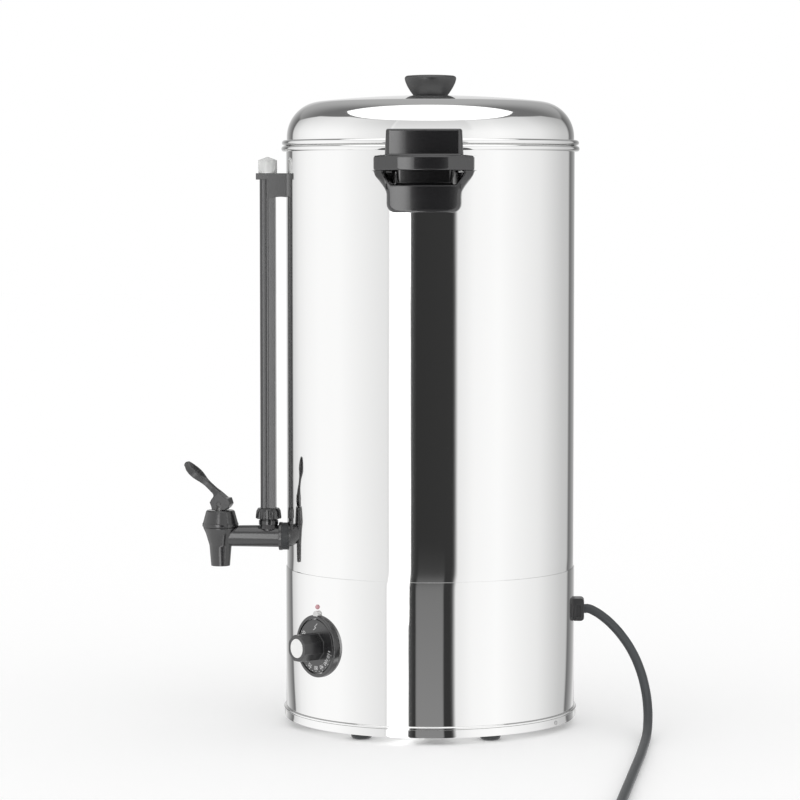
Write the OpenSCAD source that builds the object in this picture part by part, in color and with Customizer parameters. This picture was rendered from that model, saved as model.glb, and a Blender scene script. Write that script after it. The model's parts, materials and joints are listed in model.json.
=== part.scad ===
// Hot water urn: a single-walled steel tank on an electrics base, with a lift-off lid,
// two moulded handles, a sprung lever tap with a sight gauge, a thermostat and a mains cord.
// Millimetres. The urn's axis is Z and it stands on Z = 0. The tap faces -Y, the handles lie
// along X and the cord leaves at +Y.

/* [Tank] */
// Outside radius of the tank
tank_r = 150; // [140:1:160]
// Sheet thickness of the tank
tank_wall = 0.8; // [0.6:0.1:1.2]
// Height of the rolled rim above the floor that the urn stands on
rim_z = 600; // [560:1:660]
// Radius of the rolled rim
rim_bead_r = 3; // [2.5:0.1:3.5]
// How far the rolled rim stands out from the wall
rim_bead_out = 5.1; // [4.5:0.1:6]
// Height of the tank's floor above the seam
floor_lift = 4; // [2:0.5:8]
// Corner radius between the tank's floor and wall
floor_corner_r = 8; // [4:0.5:12]
// Height of the floor's upright edge above its corner
floor_lip_h = 1.5; // [1:0.25:2]
// How far the tank's skirt reaches down inside the base
skirt_h = 14; // [8:1:20]

/* [Base] */
// Height of the seam, where the base shell ends
seam_z = 164.3; // [150:0.1:180]
// Sheet thickness of the base shell
base_wall = 0.8; // [0.6:0.1:1.2]
// Radius of the bead round the foot of the shell
base_bead_r = 1.3; // [1:0.1:1.6]
// How far that bead stands out from the shell
base_bead_out = 2.6; // [2.4:0.1:3]
// Outside radius of the bottom pan, past the shell
pan_out = 1.7; // [1.5:0.1:2.4]
// Sheet thickness of the bottom pan
pan_wall = 0.8; // [0.6:0.1:1.2]
// Height of the pan's flange
pan_h = 8.6; // [8:0.1:12]
// Corner radius of the pan
pan_corner_r = 2; // [1.5:0.1:2.5]
// Number of cooling slots in the pan
vent_count = 16; // [8:1:20]
// Length of a cooling slot
vent_length = 30; // [20:1:40]

/* [Feet] */
// Number of feet
foot_count = 6; // [4:1:8]
// Radius of the circle that the feet stand on
foot_circle_r = 131; // [120:1:134]
// Radius of a foot
foot_r = 10.6; // [8:0.1:12]
// Height of a foot under the pan
foot_h = 6.9; // [5:0.1:12]
// Rounding of a foot's lower edge
foot_round = 3.5; // [2:0.1:4.5]
// Radius of the nub that holds a foot in the pan
foot_nub_r = 4; // [3:0.1:5]

/* [Lid] */
// How far the lid's upright side stands inside the tank's outside
lid_inset = 0.6; // [0.2:0.1:2]
// Sheet thickness of the lid
lid_wall = 0.8; // [0.6:0.1:1.2]
// Radius of the lid's shoulder
lid_shoulder_r = 38; // [30:0.5:42]
// Height of the crown above the start of the shoulder
lid_rise = 47.5; // [44:0.5:52]
// Height of the upright side above the lid's bead
lid_side_h = 6; // [4:0.5:12]
// Radius of the lid's rolled bead
lid_bead_r = 2.8; // [2.4:0.1:3.2]
// How far the lid's bead stands out from its side
lid_bead_out = 5.1; // [4.6:0.1:6]
// Depth of the ring that locates the lid in the tank
lid_ring_h = 11; // [6:0.5:16]
// Gap between that ring and the tank's wall
lid_ring_gap = 1.6; // [1:0.1:3]
// Gap between the lid's bead and the tank's rim
lid_seat_gap = 0.3; // [0.2:0.05:0.4]

/* [Lid knob] */
// Radius of the knob's rim
knob_r = 26.8; // [22:0.1:30]
// Radius of the knob's foot
knob_foot_r = 17.7; // [14:0.1:19]
// Rounding of the knob's upper edge
knob_edge_r = 3; // [2:0.1:4]
// Height of the knob
knob_h = 17.2; // [15:0.1:24]
// Radius of the knob's screw
knob_screw_r = 2.5; // [2:0.1:3]

/* [Handles] */
// Width of the grip ledge
ledge_w = 99.6; // [96:0.2:110]
// Height of the grip ledge
ledge_h = 14.6; // [13:0.1:17]
// How far the ledge stands out from the wall
ledge_out = 42; // [38:0.5:48]
// Half width of the ledge's middle face
ledge_face = 25; // [20:1:30]
// Height of the ledge's top below the rim
ledge_drop = 8.6; // [8:0.1:10]
// Width of the handle's body
handle_w = 74; // [70:0.5:80]
// Height of the opening for the fingers under the ledge
finger_h = 14; // [12:0.5:18]
// Height of the body below that opening
handle_body_h = 28; // [24:0.5:34]
// How far the body stands out from the wall
handle_body_out = 28; // [24:0.5:32]
// Thickness of the gussets beside the opening
gusset_t = 10; // [8:0.5:12]
// Width of the web behind the opening
web_w = 56; // [50:1:60]
// Thickness of the web
web_t = 8; // [6:0.5:10]
// Height of the block beside the lid
guard_h = 26.4; // [22:0.1:30]
// Width of that block at its foot
guard_w = 78; // [74:0.5:84]
// How far that block stands out from the wall
guard_out = 22; // [18:0.5:25]
// Wall thickness of the moulded ledge
ledge_skin = 4.6; // [4:0.1:5.5]
// Radius of a handle screw
handle_screw_r = 3; // [2.5:0.1:3.5]

/* [Tap] */
// Height of the tap's shank above the seam
tap_above_seam = 30; // [28:0.5:36]
// Distance from the wall to the axis of the tap's barrel
tap_reach = 70.8; // [66:0.1:80]
// Radius of the tap's arm
arm_r = 11.4; // [11:0.1:12.2]
// Radius of the shank that goes through the wall
shank_r = 8; // [7.5:0.1:8.5]
// Length of the shank inside the tank
shank_in = 17; // [15:0.5:20]
// Radius of the waterway
bore_r = 5; // [4.5:0.1:5.5]
// Radius of the flange outside the wall
flange_r = 14.9; // [14:0.1:17]
// Radius of the barrel's shoulder
barrel_r = 18; // [17.5:0.1:19]
// Radius of the spout's mouth, outside
spout_r = 9.9; // [9:0.1:10.5]
// Depth of the spout's mouth below the shank's axis
spout_drop = 31.5; // [28:0.5:36]
// Radius of the spout's bore
spout_bore_r = 6.5; // [5.5:0.1:7]
// Radius of the bonnet's foot
bonnet_r = 19; // [18.5:0.1:20]
// Radius of the bonnet's top
bonnet_top_r = 14.6; // [13.5:0.1:15.5]
// Height of the bonnet
bonnet_h = 17.6; // [17:0.1:20]
// Radius of the valve stem
stem_r = 4; // [3.5:0.1:4.2]
// Radius of the lever's pin
pin_r = 2; // [1.8:0.05:2.2]
// Radial clearance of the stem and of the pin
run_gap = 0.05; // [0.03:0.01:0.08]

/* [Tap lever] */
// Distance from the pin to the lever's tip
lever_length = 56.5; // [50:0.5:64]
// Rise of the lever from level
lever_rise = 42; // [38:0.5:46]
// How far the lever is turned round the stem at rest
lever_turn = 10; // [0:1:30]
// Width of the thumb pad
pad_w = 24; // [20:0.5:28]
// Length of the thumb pad
pad_length = 31; // [26:0.5:34]
// Thickness of the arm and thumb pad
arm_t = 5.8; // [5:0.1:6.6]
// Width of the arm at its waist
waist_w = 9.6; // [8.6:0.1:13]
// Width of the lever's root
root_w = 15; // [14:0.5:18]
// Number of grip ribs on the thumb pad
rib_count = 6; // [4:1:7]

/* [Sight gauge] */
// Distance from the wall to the gauge's axis
gauge_reach = 20; // [19:0.1:24]
// Outside radius of the gauge glass
glass_r = 6; // [5.5:0.1:6.2]
// Wall thickness of the gauge glass
glass_wall = 1.5; // [1:0.1:1.8]
// Width of the guard channel, across and deep
guard_side = 16; // [15.6:0.1:17]
// Width of the slot down the guard's front
slot_w = 7; // [6:0.1:8]
// Radius of the gauge nut
gauge_nut_r = 13.6; // [13.2:0.1:14.5]
// Height of the gauge nut
gauge_nut_h = 11; // [10:0.1:13]
// Number of lobes round the gauge nut
nut_lobes = 10; // [8:1:12]
// Height of the bracket that holds the guard's top
bracket_h = 25.6; // [22:0.1:30]
// Depth of the bracket's top below the rim
bracket_drop = 25.2; // [24:0.1:40]
// Height of the cap over the gauge's top
gauge_cap_h = 17; // [15:0.1:20]
// Radius of that cap
gauge_cap_r = 10; // [9:0.1:10.5]

/* [Thermostat] */
// Direction of the thermostat and lamp round the urn
control_angle = -47.3; // [-55:0.1:-38]
// Depth of the dial's axis below the seam
dial_drop = 71.6; // [60:0.1:80]
// Radius of the bezel
bezel_r = 32; // [30:0.1:36]
// Radius of the dial's disc
dial_r = 27.5; // [25:0.1:28]
// Gap between the disc and the bezel
dial_gap = 0.8; // [0.5:0.1:1.2]
// How far the grip stands out from the disc
grip_h = 24.5; // [20:0.5:28]
// Distance across the flats of the grip
grip_flats = 26.6; // [24:0.1:28]
// Radius of the bright cap in the grip's end
dial_cap_r = 9.8; // [8:0.1:10.5]
// Radius of the thermostat's shaft
shaft_r = 3; // [2.5:0.1:3.2]
// Height of the pilot lamp above the dial's axis
lamp_rise = 40.2; // [38:0.1:46]
// Radius of the pilot lamp's lens
lamp_r = 2.1; // [2:0.1:4]

/* [Heater] */
// Radius of the heat-spreading plate under the tank
plate_r = 112; // [100:1:125]
// Thickness of that plate
plate_t = 4; // [3:0.5:6]
// Radius of the ring that the element follows
element_ring_r = 88; // [70:1:95]
// Radius of the element's tube
element_r = 4; // [3:0.1:4.5]
// How deep the element is bedded in the plate
element_bed = 1.5; // [1:0.1:2]

/* [Mains cord] */
// Radius of the cord
cord_r = 4.75; // [4:0.05:4.75]
// Depth of the cord's gland below the seam
gland_drop = 44.8; // [30:0.1:60]
// How far the gland stands out from the shell
gland_out = 10.5; // [10:0.1:14]
// Height of the gland's head
gland_h = 23.6; // [20:0.1:26]
// Width of the gland's head
gland_w = 20; // [16:0.5:22]
// Radius of the plug
plug_r = 18.75; // [18:0.05:20]
// Length of the plug's body
plug_length = 36; // [32:0.5:40]
// Radius of a plug pin
plug_pin_r = 2.4; // [2.2:0.1:2.4]

/* [Hidden] */

big = 96;       // facets of the urn's large rounds
mid = 48;       // facets of pieces the size of the tap
cut = 1;        // how far a cutting tool runs past what it cuts
fit_gap = 0.15; // slip fit of sheets and pieces pushed into each other

tap_angle = -90;
cord_angle = 90;
tank_in = tank_r - tank_wall;
tank_floor_z = seam_z + floor_lift;
lid_ring_r = tank_in - lid_ring_gap;
base_in = tank_r + fit_gap;
base_r = base_in + base_wall;
pan_z = foot_h;
pan_r = base_r + pan_out;
pan_top = pan_z + pan_h;
base_bead_z = pan_top + base_bead_r + 0.2;
lid_bead_z = rim_z + rim_bead_r + lid_seat_gap + lid_bead_r;
lid_shoulder_z = lid_bead_z + lid_side_h;
lid_r = tank_r - lid_inset;
crown_z = lid_shoulder_z + lid_rise;
// the crown's radius makes it run smoothly into the shoulder
shoulder_x = lid_r - lid_shoulder_r;
crown_r = (shoulder_x * shoulder_x + lid_rise * lid_rise - lid_shoulder_r * lid_shoulder_r)
    / (2 * (lid_rise - lid_shoulder_r));
crown_tilt = asin(shoulder_x / (crown_r - lid_shoulder_r));

ledge_top = rim_z - ledge_drop;
ledge_z = ledge_top - ledge_h;
shelf_z = ledge_z - finger_h;
handle_z = shelf_z - handle_body_h;
guard_top = ledge_top + guard_h;
handle_screw_z = [ledge_z + 4, handle_z + handle_body_h / 2];
handle_wall_r = tank_r + 0.05;
handle_clear_r = tank_r + rim_bead_out + 1.2;

tap_z = seam_z + tap_above_seam;
tap_x = tank_r + tap_reach;
gauge_x = tank_r + gauge_reach;
barrel_rise = 9.4;
barrel_top = tap_z + barrel_rise;
seat_z = tap_z - 6;
bonnet_z = barrel_top + 0.1;
bonnet_top = bonnet_z + bonnet_h;
pin_z = bonnet_top + 7.1;
root_bottom = bonnet_top + 0.5;

nut_z = tap_z + 18.6;
nut_top = nut_z + gauge_nut_h;
bracket_top = rim_z - bracket_drop;
bracket_z = bracket_top - bracket_h;
glass_z = tap_z + 12;
glass_top = bracket_top + 8;
guard_z = nut_top;

dial_z = seam_z - dial_drop;
disc_back = base_r + 1.25;
disc_t = 1.6;
disc_x = disc_back + disc_t;
grip_x = disc_x + grip_h;
gland_z = seam_z - gland_drop;
gland_x = base_r + gland_out;
plate_z = tank_floor_z - tank_wall - plate_t;
element_z = plate_z + element_bed - element_r;

// The cord's way from the gland down to the floor and along it, to the start of the coil.
cord_route = [[0, 161.5, 119.5], [0, 166, 119.5], [0, 173, 116.5], [1, 181.5, 111], [4, 191, 103], [9, 201.5, 91.5],
    [17, 211.5, 77], [29, 219.5, 60], [45, 224.5, 42.5], [66, 226.5, 27], [92, 226, 14.5],
    [122, 224, 7.5], [155, 221, 4.9], [190, 218, 4.75], [225, 215, 4.75], [260, 211.5, 4.75],
    [300, 207.5, 4.75], [340, 203.5, 4.75], [380, 199.5, 4.75], [420, 195.5, 4.75],
    [460, 191.5, 4.75], [500, 188, 4.75], [536, 185.5, 4.75], [572, 184, 4.75]];
coil_centre = [606, 127];
coil_in = 33;
coil_out = 62;
coil_layers = 2;
// The short end from the coil's upper layer to the plug.
tail_route = [[663.5, 95, 14.25], [663.5, 88, 14.5], [664, 79, 15.8], [664.5, 70, 17.8],
    [665, 62, 18.75], [665, 57, 18.75]];
plug_at = [665, 57, 18.75];

// ---- helpers ----

// Puts a piece that is built along +X at an angle round the urn.
module facing(angle) {
    rotate([0, 0, angle]) children();
}

// A cylinder along X from x0 to x1.
module rod_x(x0, x1, r) {
    translate([x0, 0, 0]) rotate([0, 90, 0]) cylinder(h = x1 - x0, r = r, $fn = mid);
}

// Points of an arc round [x, y].
function arc(x, y, r, from, to, n) =
    [for (i = [0:n]) [x + r * cos(from + (to - from) * i / n), y + r * sin(from + (to - from) * i / n)]];

function unit(v) = v / norm(v);
function ease(t) = t <= 0 ? 0 : t >= 1 ? 1 : t * t * (3 - 2 * t);
function heading(path, i) =
    unit(path[min(i + 1, len(path) - 1)] - path[max(i - 1, 0)]);
// The sideways direction at each point of a path, carried along without twist.
function sides_of(path) =
    [for (i = 0, u = unit(cross(heading(path, 0), [0, 0, 1])); i < len(path); i = i + 1,
        t = i < len(path) ? heading(path, i) : [0, 0, 1], u = unit(u - (u * t) * t)) u];

// A path with points added so that it bends smoothly through those given.
function smooth(path) =
    let (n = len(path) - 1, steps = 4)
    concat([for (i = [0:n - 1]) for (k = [0:steps - 1])
        let (t = k / steps, a = path[max(i - 1, 0)], b = path[i], c = path[i + 1],
            d = path[min(i + 2, n)])
        b + 0.5 * t * (c - a + t * (2 * a - 5 * b + 4 * c - d + t * (3 * b - a - 3 * c + d)))],
        [path[n]]);

// One closed tube swept along a path that doesn't start straight up.
module swept_tube(path, r, sides) {
    ways = sides_of(path);
    rings = [for (i = [0:len(path) - 1])
        let (t = heading(path, i), u = ways[i], v = cross(u, t))
        for (k = [0:sides - 1])
            path[i] + r * (cos(360 * k / sides) * u + sin(360 * k / sides) * v)];
    last = (len(path) - 1) * sides;
    faces = concat(
        [[for (k = [sides - 1:-1:0]) k]],
        [for (i = [0:len(path) - 2]) for (k = [0:sides - 1])
            let (n = (k + 1) % sides, a = i * sides) [a + k, a + n, a + sides + n, a + sides + k]],
        [[for (k = [0:sides - 1]) last + k]]);
    polyhedron(points = rings, faces = faces, convexity = 4);
}

// A pan-headed screw along X: the head's seat is at x, and it points inwards or outwards.
module screw_x(x, direction, length, r, head_r, head_h) {
    shaft = [x, x + direction * length];
    head = [x, x - direction * head_h];
    rod_x(min(shaft), max(shaft), r);
    rod_x(min(head), max(head), head_r);
}

// ---- tank ----

// The wall, from the skirt that plugs into the base up to the rolled rim.
module tank_section() {
    translate([tank_in, seam_z - skirt_h]) square([tank_wall, rim_z - seam_z + skirt_h]);
    translate([tank_r + rim_bead_out - rim_bead_r, rim_z]) circle(r = rim_bead_r, $fn = 32);
}

module tank() {
    color("silver") difference() {
        rotate_extrude($fn = big) tank_section();
        facing(tap_angle) translate([0, 0, tap_z])
            rod_x(tank_in - 10, tank_r + 10, shank_r + fit_gap);
        for (hole = wall_holes())
            facing(hole[0]) translate([0, 0, hole[1]])
                rod_x(tank_in - 10, tank_r + 10, handle_screw_r + fit_gap);
    }
}

// The floor: a pressed dish whose upright edge is welded round the inside of the wall.
module tank_floor() {
    edge_r = tank_in - fit_gap;
    corner_x = edge_r - tank_wall - floor_corner_r;
    corner_z = tank_floor_z + floor_corner_r;
    lip_z = corner_z + floor_lip_h;
    color("silver") rotate_extrude($fn = big) polygon(concat(
        [[0, tank_floor_z - tank_wall]],
        arc(corner_x, corner_z, floor_corner_r + tank_wall, -90, 0, 6),
        [[edge_r, lip_z], [edge_r - tank_wall, lip_z]],
        arc(corner_x, corner_z, floor_corner_r, 0, -90, 6),
        [[0, tank_floor_z]]));
}

// ---- base ----

module base_shell() {
    color("silver") difference() {
        rotate_extrude($fn = big) {
            translate([base_in, pan_z + pan_wall])
                square([base_wall, seam_z - pan_z - pan_wall]);
            translate([base_r + base_bead_out - base_bead_r, base_bead_z])
                circle(r = base_bead_r, $fn = 24);
            translate([base_r - base_wall / 2, base_bead_z - base_bead_r / 2])
                square([base_bead_out - base_bead_r + base_wall / 2, base_bead_r]);
        }
        facing(control_angle) translate([0, 0, dial_z])
            rod_x(base_r - 10, base_r + 10, bushing_r + fit_gap);
        facing(control_angle) for (side = [-1, 1])
            translate([0, side * thermostat_screw_gap, dial_z])
                rod_x(base_r - 20, base_r + 10, thermostat_screw_r + fit_gap);
        facing(control_angle) translate([0, 0, dial_z + lamp_rise])
            rod_x(base_r - 10, base_r + 10, lamp_r + fit_gap);
        facing(cord_angle) translate([base_r, 0, gland_z])
            cube([20, gland_neck_w + 2 * fit_gap, gland_neck_h + 2 * fit_gap], center = true);
        for (a = pan_screw_angles)
            facing(a) translate([0, 0, pan_screw_z])
                rod_x(base_in - 10, base_r + 10, pan_screw_r);
    }
}

pan_screw_angles = [60, 240];
pan_screw_z = pan_z + pan_h / 2;
pan_screw_r = 1.5;

module base_pan() {
    inner_r = pan_r - pan_wall;
    color("silver") difference() {
        rotate_extrude($fn = big) {
            polygon(concat(
                [[0, pan_z]],
                arc(pan_r - pan_corner_r, pan_z + pan_corner_r, pan_corner_r, -90, 0, 4),
                arc(pan_r - pan_wall / 2, pan_top - pan_wall / 2, pan_wall / 2, 0, 180, 4),
                [[inner_r, pan_z + pan_wall], [0, pan_z + pan_wall]]));
        }
        for (i = [0:foot_count - 1])
            rotate([0, 0, foot_angle(i)]) translate([foot_circle_r, 0, pan_z - cut])
                cylinder(h = pan_wall + 2 * cut, r = foot_nub_r, $fn = 24);
        for (i = [0:vent_count - 1])
            rotate([0, 0, 360 * i / vent_count]) translate([60, 0, pan_z - cut]) vent_slot();
        for (a = pan_screw_angles)
            facing(a) translate([0, 0, pan_screw_z])
                rod_x(inner_r - 5, pan_r + 5, pan_screw_r + fit_gap);
    }
}

module vent_slot() {
    slot_r = 2;
    translate([0, -slot_r, 0]) cube([vent_length, 2 * slot_r, pan_wall + 2 * cut]);
    for (x = [0, vent_length])
        translate([x, 0, 0]) cylinder(h = pan_wall + 2 * cut, r = slot_r, $fn = 24);
}

function foot_angle(i) = 30 + 360 * i / foot_count;

module feet() {
    color("#1c1c1c") for (i = [0:foot_count - 1])
        rotate([0, 0, foot_angle(i)]) translate([foot_circle_r, 0, 0]) foot();
}

module foot() {
    clip_z = pan_z + pan_wall;
    rotate_extrude($fn = 32) polygon(concat(
        [[0, 0]],
        arc(foot_r - foot_round, foot_round, foot_round, -90, 0, 4),
        [[foot_r, pan_z], [foot_nub_r, pan_z], [foot_nub_r, clip_z], [foot_nub_r + 1.2, clip_z],
            [foot_nub_r - 0.8, clip_z + 4], [0, clip_z + 4]]));
}

module pan_screws() {
    color("silver") for (a = pan_screw_angles)
        facing(a) translate([0, 0, pan_screw_z])
            screw_x(pan_r, -1, 8, pan_screw_r, 2.2, 0.8);
}

// ---- lid ----

// The lid's outside line from its bead to the crown, stepped inwards by a wall.
function dome(step) = concat(
    arc(shoulder_x, lid_shoulder_z, lid_shoulder_r - step, 0, 90 - crown_tilt, 10),
    [for (p = arc(0, crown_z - crown_r, crown_r - step, 90 - crown_tilt, 90, 8)) if (p[0] < shoulder_x + 5) p]);

module lid() {
    outer = dome(0);
    inner = dome(lid_wall);
    color("silver") difference() {
        rotate_extrude($fn = big) {
            polygon(concat(
                [[lid_r - lid_wall, lid_bead_z], [lid_r, lid_bead_z]], outer,
                [for (i = [len(inner) - 1:-1:0]) inner[i]]));
            translate([lid_r + lid_bead_out - lid_bead_r, lid_bead_z])
                circle(r = lid_bead_r, $fn = 32);
            translate([lid_ring_r - lid_wall, lid_bead_z - lid_wall / 2])
                square([lid_r + lid_bead_out - lid_bead_r - lid_ring_r + lid_wall, lid_wall]);
        }
        translate([0, 0, crown_z - 10]) cylinder(h = 20, r = knob_screw_r + fit_gap, $fn = 24);
    }
}

// The ring under the lid that keeps it in place on the tank.
module lid_ring() {
    low = lid_bead_z - lid_ring_h;
    color("silver") rotate_extrude($fn = big)
        translate([lid_ring_r - lid_wall, low])
            square([lid_wall, lid_bead_z - lid_wall / 2 - low]);
}

// The knob: a bowl-shaped side, a rounded edge and a slightly domed top.
module lid_knob() {
    widest_z = knob_h - knob_edge_r - 0.9;
    flare = knob_r - knob_foot_r;
    edge = arc(knob_r - knob_edge_r, widest_z, knob_edge_r, 0, 80, 5);
    top = edge[len(edge) - 1];
    color("#202020") translate([0, 0, crown_z]) difference() {
        rotate_extrude($fn = mid) polygon(concat(
            [[0, 0]],
            [for (i = [0:7]) [knob_r - flare * pow(1 - i / 8, 1.5), widest_z * i / 8]],
            edge,
            [for (i = [3:-1:0]) [top[0] * i / 4, knob_h - (knob_h - top[1]) * i * i / 16]]));
        translate([0, 0, -cut]) cylinder(h = 0.7 * knob_h + cut, r = knob_screw_r, $fn = 24);
    }
}

module lid_screw() {
    washer_r = 3.2 * knob_screw_r;
    under = crown_z - lid_wall - 0.1;
    color("silver") {
        translate([0, 0, under - 1]) cylinder(h = 1, r = washer_r, $fn = 24);
        translate([0, 0, under - 3.6]) cylinder(h = 2.7, r = 2 * knob_screw_r, $fn = 24);
        translate([0, 0, under - 1.1]) cylinder(h = 0.6 * knob_h + 1.1, r = knob_screw_r, $fn = 24);
    }
}

// ---- handles ----

// Half width of the body and gussets at height z.
function handle_half(z) = handle_w / 2
    + (ledge_w - handle_w) / 2 * ease((z - shelf_z + 10) / (ledge_z - shelf_z + 10));

// Front view of the body and gussets.
module handle_outline() {
    steps = 8;
    corner = 9;
    half = handle_w / 2;
    side = concat(
        arc(half - corner, handle_z + corner, corner, -90, 0, 5),
        [for (i = [0:steps]) let (z = shelf_z - 10 + (ledge_z - shelf_z + 11) * i / steps)
            [handle_half(z), z]]);
    polygon(concat(side, [for (i = [len(side) - 1:-1:0]) [-side[i][0], side[i][1]]]));
}

// Front view of the opening under the ledge.
module window_outline() {
    steps = 5;
    side = [for (i = [0:steps]) let (z = shelf_z + (finger_h + 0.01) * i / steps)
        [handle_half(z) - gusset_t, z]];
    polygon(concat(side, [for (i = [steps:-1:0]) [-side[i][0], side[i][1]]]));
}

// Plan with a bowed front: front is the middle's x, half the half width.
module bowed_plan(front, half, bow_r, corner) {
    steps = 8;
    inner = tank_r - 12;
    reach = half - corner;
    function bow(y) = front - bow_r + sqrt(bow_r * bow_r - y * y);
    tip = bow(reach) - corner;
    right = arc(tip, reach, corner, 90, 30, 3);
    polygon(concat(
        [[inner, -half]], [for (i = [0:3]) [right[i][0], -right[i][1]]],
        [for (i = [0:steps]) let (y = reach * (2 * i / steps - 1)) [bow(y), y]],
        [for (i = [3:-1:0]) right[i]], [[inner, half]]));
}

// Plan of the ledge: a bowed middle face and two swept ends.
module ledge_plan(inset) {
    steps = 6;
    front = tank_r + ledge_out - inset;
    half = ledge_w / 2 - inset;
    face = ledge_face - inset * 0.3;
    bow_r = 120;
    corner = 4;
    sweep = 17;
    function bow(y) = front - bow_r + sqrt(bow_r * bow_r - y * y);
    end_x = bow(face) - sweep;
    right = arc(end_x - 1, half - corner, corner, 90, 40, 4);
    polygon(concat(
        [[tank_r - 12, -half]], [for (i = [0:4]) [right[i][0], -right[i][1]]],
        [for (i = [0:steps]) let (y = face * (2 * i / steps - 1)) [bow(y), y]],
        [for (i = [4:-1:0]) right[i]], [[tank_r - 12, half]]));
}

module handle() {
    web_x = tank_r + web_t;
    front = tank_r + handle_body_out;
    guard_front = tank_r + guard_out;
    color("#202020") difference() {
        union() {
            // body and gussets
            intersection() {
                translate([tank_r - 5, 0, 0]) rotate([90, 0, 90])
                    linear_extrude(height = 60) difference() {
                        handle_outline();
                        window_outline();
                    }
                translate([0, 0, handle_z - cut])
                    linear_extrude(height = ledge_z - handle_z + 2 * cut)
                        bowed_plan(front, ledge_w / 2 + 4, 74, 3);
            }
            // web
            translate([tank_r - 5, -web_w / 2, shelf_z - cut])
                cube([web_t + 5, web_w, ledge_z - shelf_z + 2 * cut]);
            // ledge
            translate([0, 0, ledge_z]) linear_extrude(height = ledge_h) ledge_plan(0);
            // block beside the lid
            intersection() {
                translate([tank_r - 5, 0, 0]) rotate([90, 0, 90]) linear_extrude(height = 60)
                    polygon([[-guard_w / 2, ledge_top - cut], [guard_w / 2, ledge_top - cut],
                        [guard_w / 2 - 1.3, guard_top], [-guard_w / 2 + 1.3, guard_top]]);
                translate([0, 0, ledge_top - cut]) linear_extrude(height = guard_h + 2 * cut)
                    bowed_plan(guard_front, guard_w / 2, 76, 4);
            }
        }
        // hollow under the ledge for the fingertips
        translate([0, 0, ledge_z - cut]) linear_extrude(height = ledge_h - ledge_skin + cut)
            intersection() {
                ledge_plan(ledge_skin);
                translate([web_x, -handle_half(ledge_z) + gusset_t])
                    square([60, 2 * (handle_half(ledge_z) - gusset_t)]);
            }
        // hollow in the back of the body, round the screw's boss
        difference() {
            translate([tank_r - 6, -handle_w / 2 + 6, handle_z + 5])
                cube([handle_body_out - 4, handle_w - 12, handle_body_h - 10]);
            translate([0, 0, handle_screw_z[1]]) rod_x(tank_r - 8, tank_r + handle_body_out, 7);
        }
        // seat against the tank, and room for the rolled rims
        translate([0, 0, handle_z - cut])
            cylinder(h = guard_top - handle_z + 2 * cut, r = handle_wall_r, $fn = big);
        translate([0, 0, rim_z - rim_bead_r - 2])
            cylinder(h = guard_top, r = handle_clear_r, $fn = big);
        for (z = handle_screw_z)
            translate([0, 0, z]) rod_x(tank_r - 8, tank_r + screw_in, handle_screw_r);
    }
}

screw_in = 6.5;
seal_t = 1.2;

module handle_right() { handle(); }
module handle_left() { facing(180) handle(); }

// Where each screw goes through the tank's wall: [direction, height].
function wall_holes() = concat(
    [for (side = [0, 180]) for (z = handle_screw_z) [side, z]],
    [[tap_angle, bracket_z + bracket_h / 2]]);

module wall_screws() {
    head_x = tank_in - seal_t - flat_drop(wall_seal_r);
    color("silver") for (hole = wall_holes())
        facing(hole[0]) translate([0, 0, hole[1]])
            screw_x(head_x, 1, tank_r + screw_in - 0.5 - head_x, handle_screw_r,
                1.8 * handle_screw_r, 3);
}

// How far a flat ring of radius r stands off inside the tank's curved wall.
function flat_drop(r) = tank_in - sqrt(tank_in * tank_in - r * r);

// A soft ring that fills the space between a flat head and the tank's inner wall.
module wall_seal(inner_r, outer_r) {
    flat_x = tank_in - seal_t - flat_drop(outer_r);
    intersection() {
        difference() {
            rod_x(flat_x, tank_in + 2, outer_r);
            rod_x(flat_x - cut, tank_in + 3, inner_r);
        }
        translate([0, 0, -50]) cylinder(h = 100, r = tank_in - 0.05, $fn = 360);
    }
}

wall_seal_r = 2 * handle_screw_r + 1;

module wall_seals() {
    color("#b04030") for (hole = wall_holes())
        facing(hole[0]) translate([0, 0, hole[1]])
            wall_seal(handle_screw_r + 0.05, wall_seal_r);
}

// ---- heater ----

module heat_plate() {
    color("lightgray") difference() {
        translate([0, 0, plate_z]) cylinder(h = plate_t, r = plate_r, $fn = big);
        rotate_extrude($fn = big) translate([element_ring_r, element_z])
            circle(r = element_r + 0.05, $fn = 24);
        for (a = [0, 180])
            rotate([0, 0, a]) translate([element_ring_r / 2, 0, plate_z - cut])
                cylinder(h = plate_t + 2 * cut, r = 2, $fn = 24);
    }
}

module heating_element() {
    end_angle = 20;
    leg_h = 28;
    color("gray") {
        rotate([0, 0, 90 + end_angle / 2]) rotate_extrude(angle = 360 - end_angle, $fn = big)
            translate([element_ring_r, element_z]) circle(r = element_r, $fn = 24);
        for (side = [-1, 1])
            rotate([0, 0, 90 + side * (end_angle / 2 + 2.5)])
                translate([element_ring_r, 0, element_z - leg_h]) {
                    cylinder(h = leg_h, r = element_r - 0.2, $fn = 24);
                    translate([-0.4, -3.15, -9]) cube([0.8, 6.3, 10]);
                }
    }
}

module cutout_switch() {
    body_r = 8;
    color("#303030") {
        translate([0, 0, plate_z - 9]) cylinder(h = 9, r = body_r, $fn = 32);
        translate([-20, -5, plate_z - 1]) cube([40, 10, 1]);
        for (side = [-1, 1])
            translate([side * 4.5 - 0.4, -3.15, plate_z - 17]) cube([0.8, 6.3, 9]);
    }
}

// ---- thermostat and lamp ----

bushing_r = 5;
thermostat_screw_r = 2;
thermostat_screw_gap = 14;
thermostat_x = base_in - 6;
lamp_body_r = 5;

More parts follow.
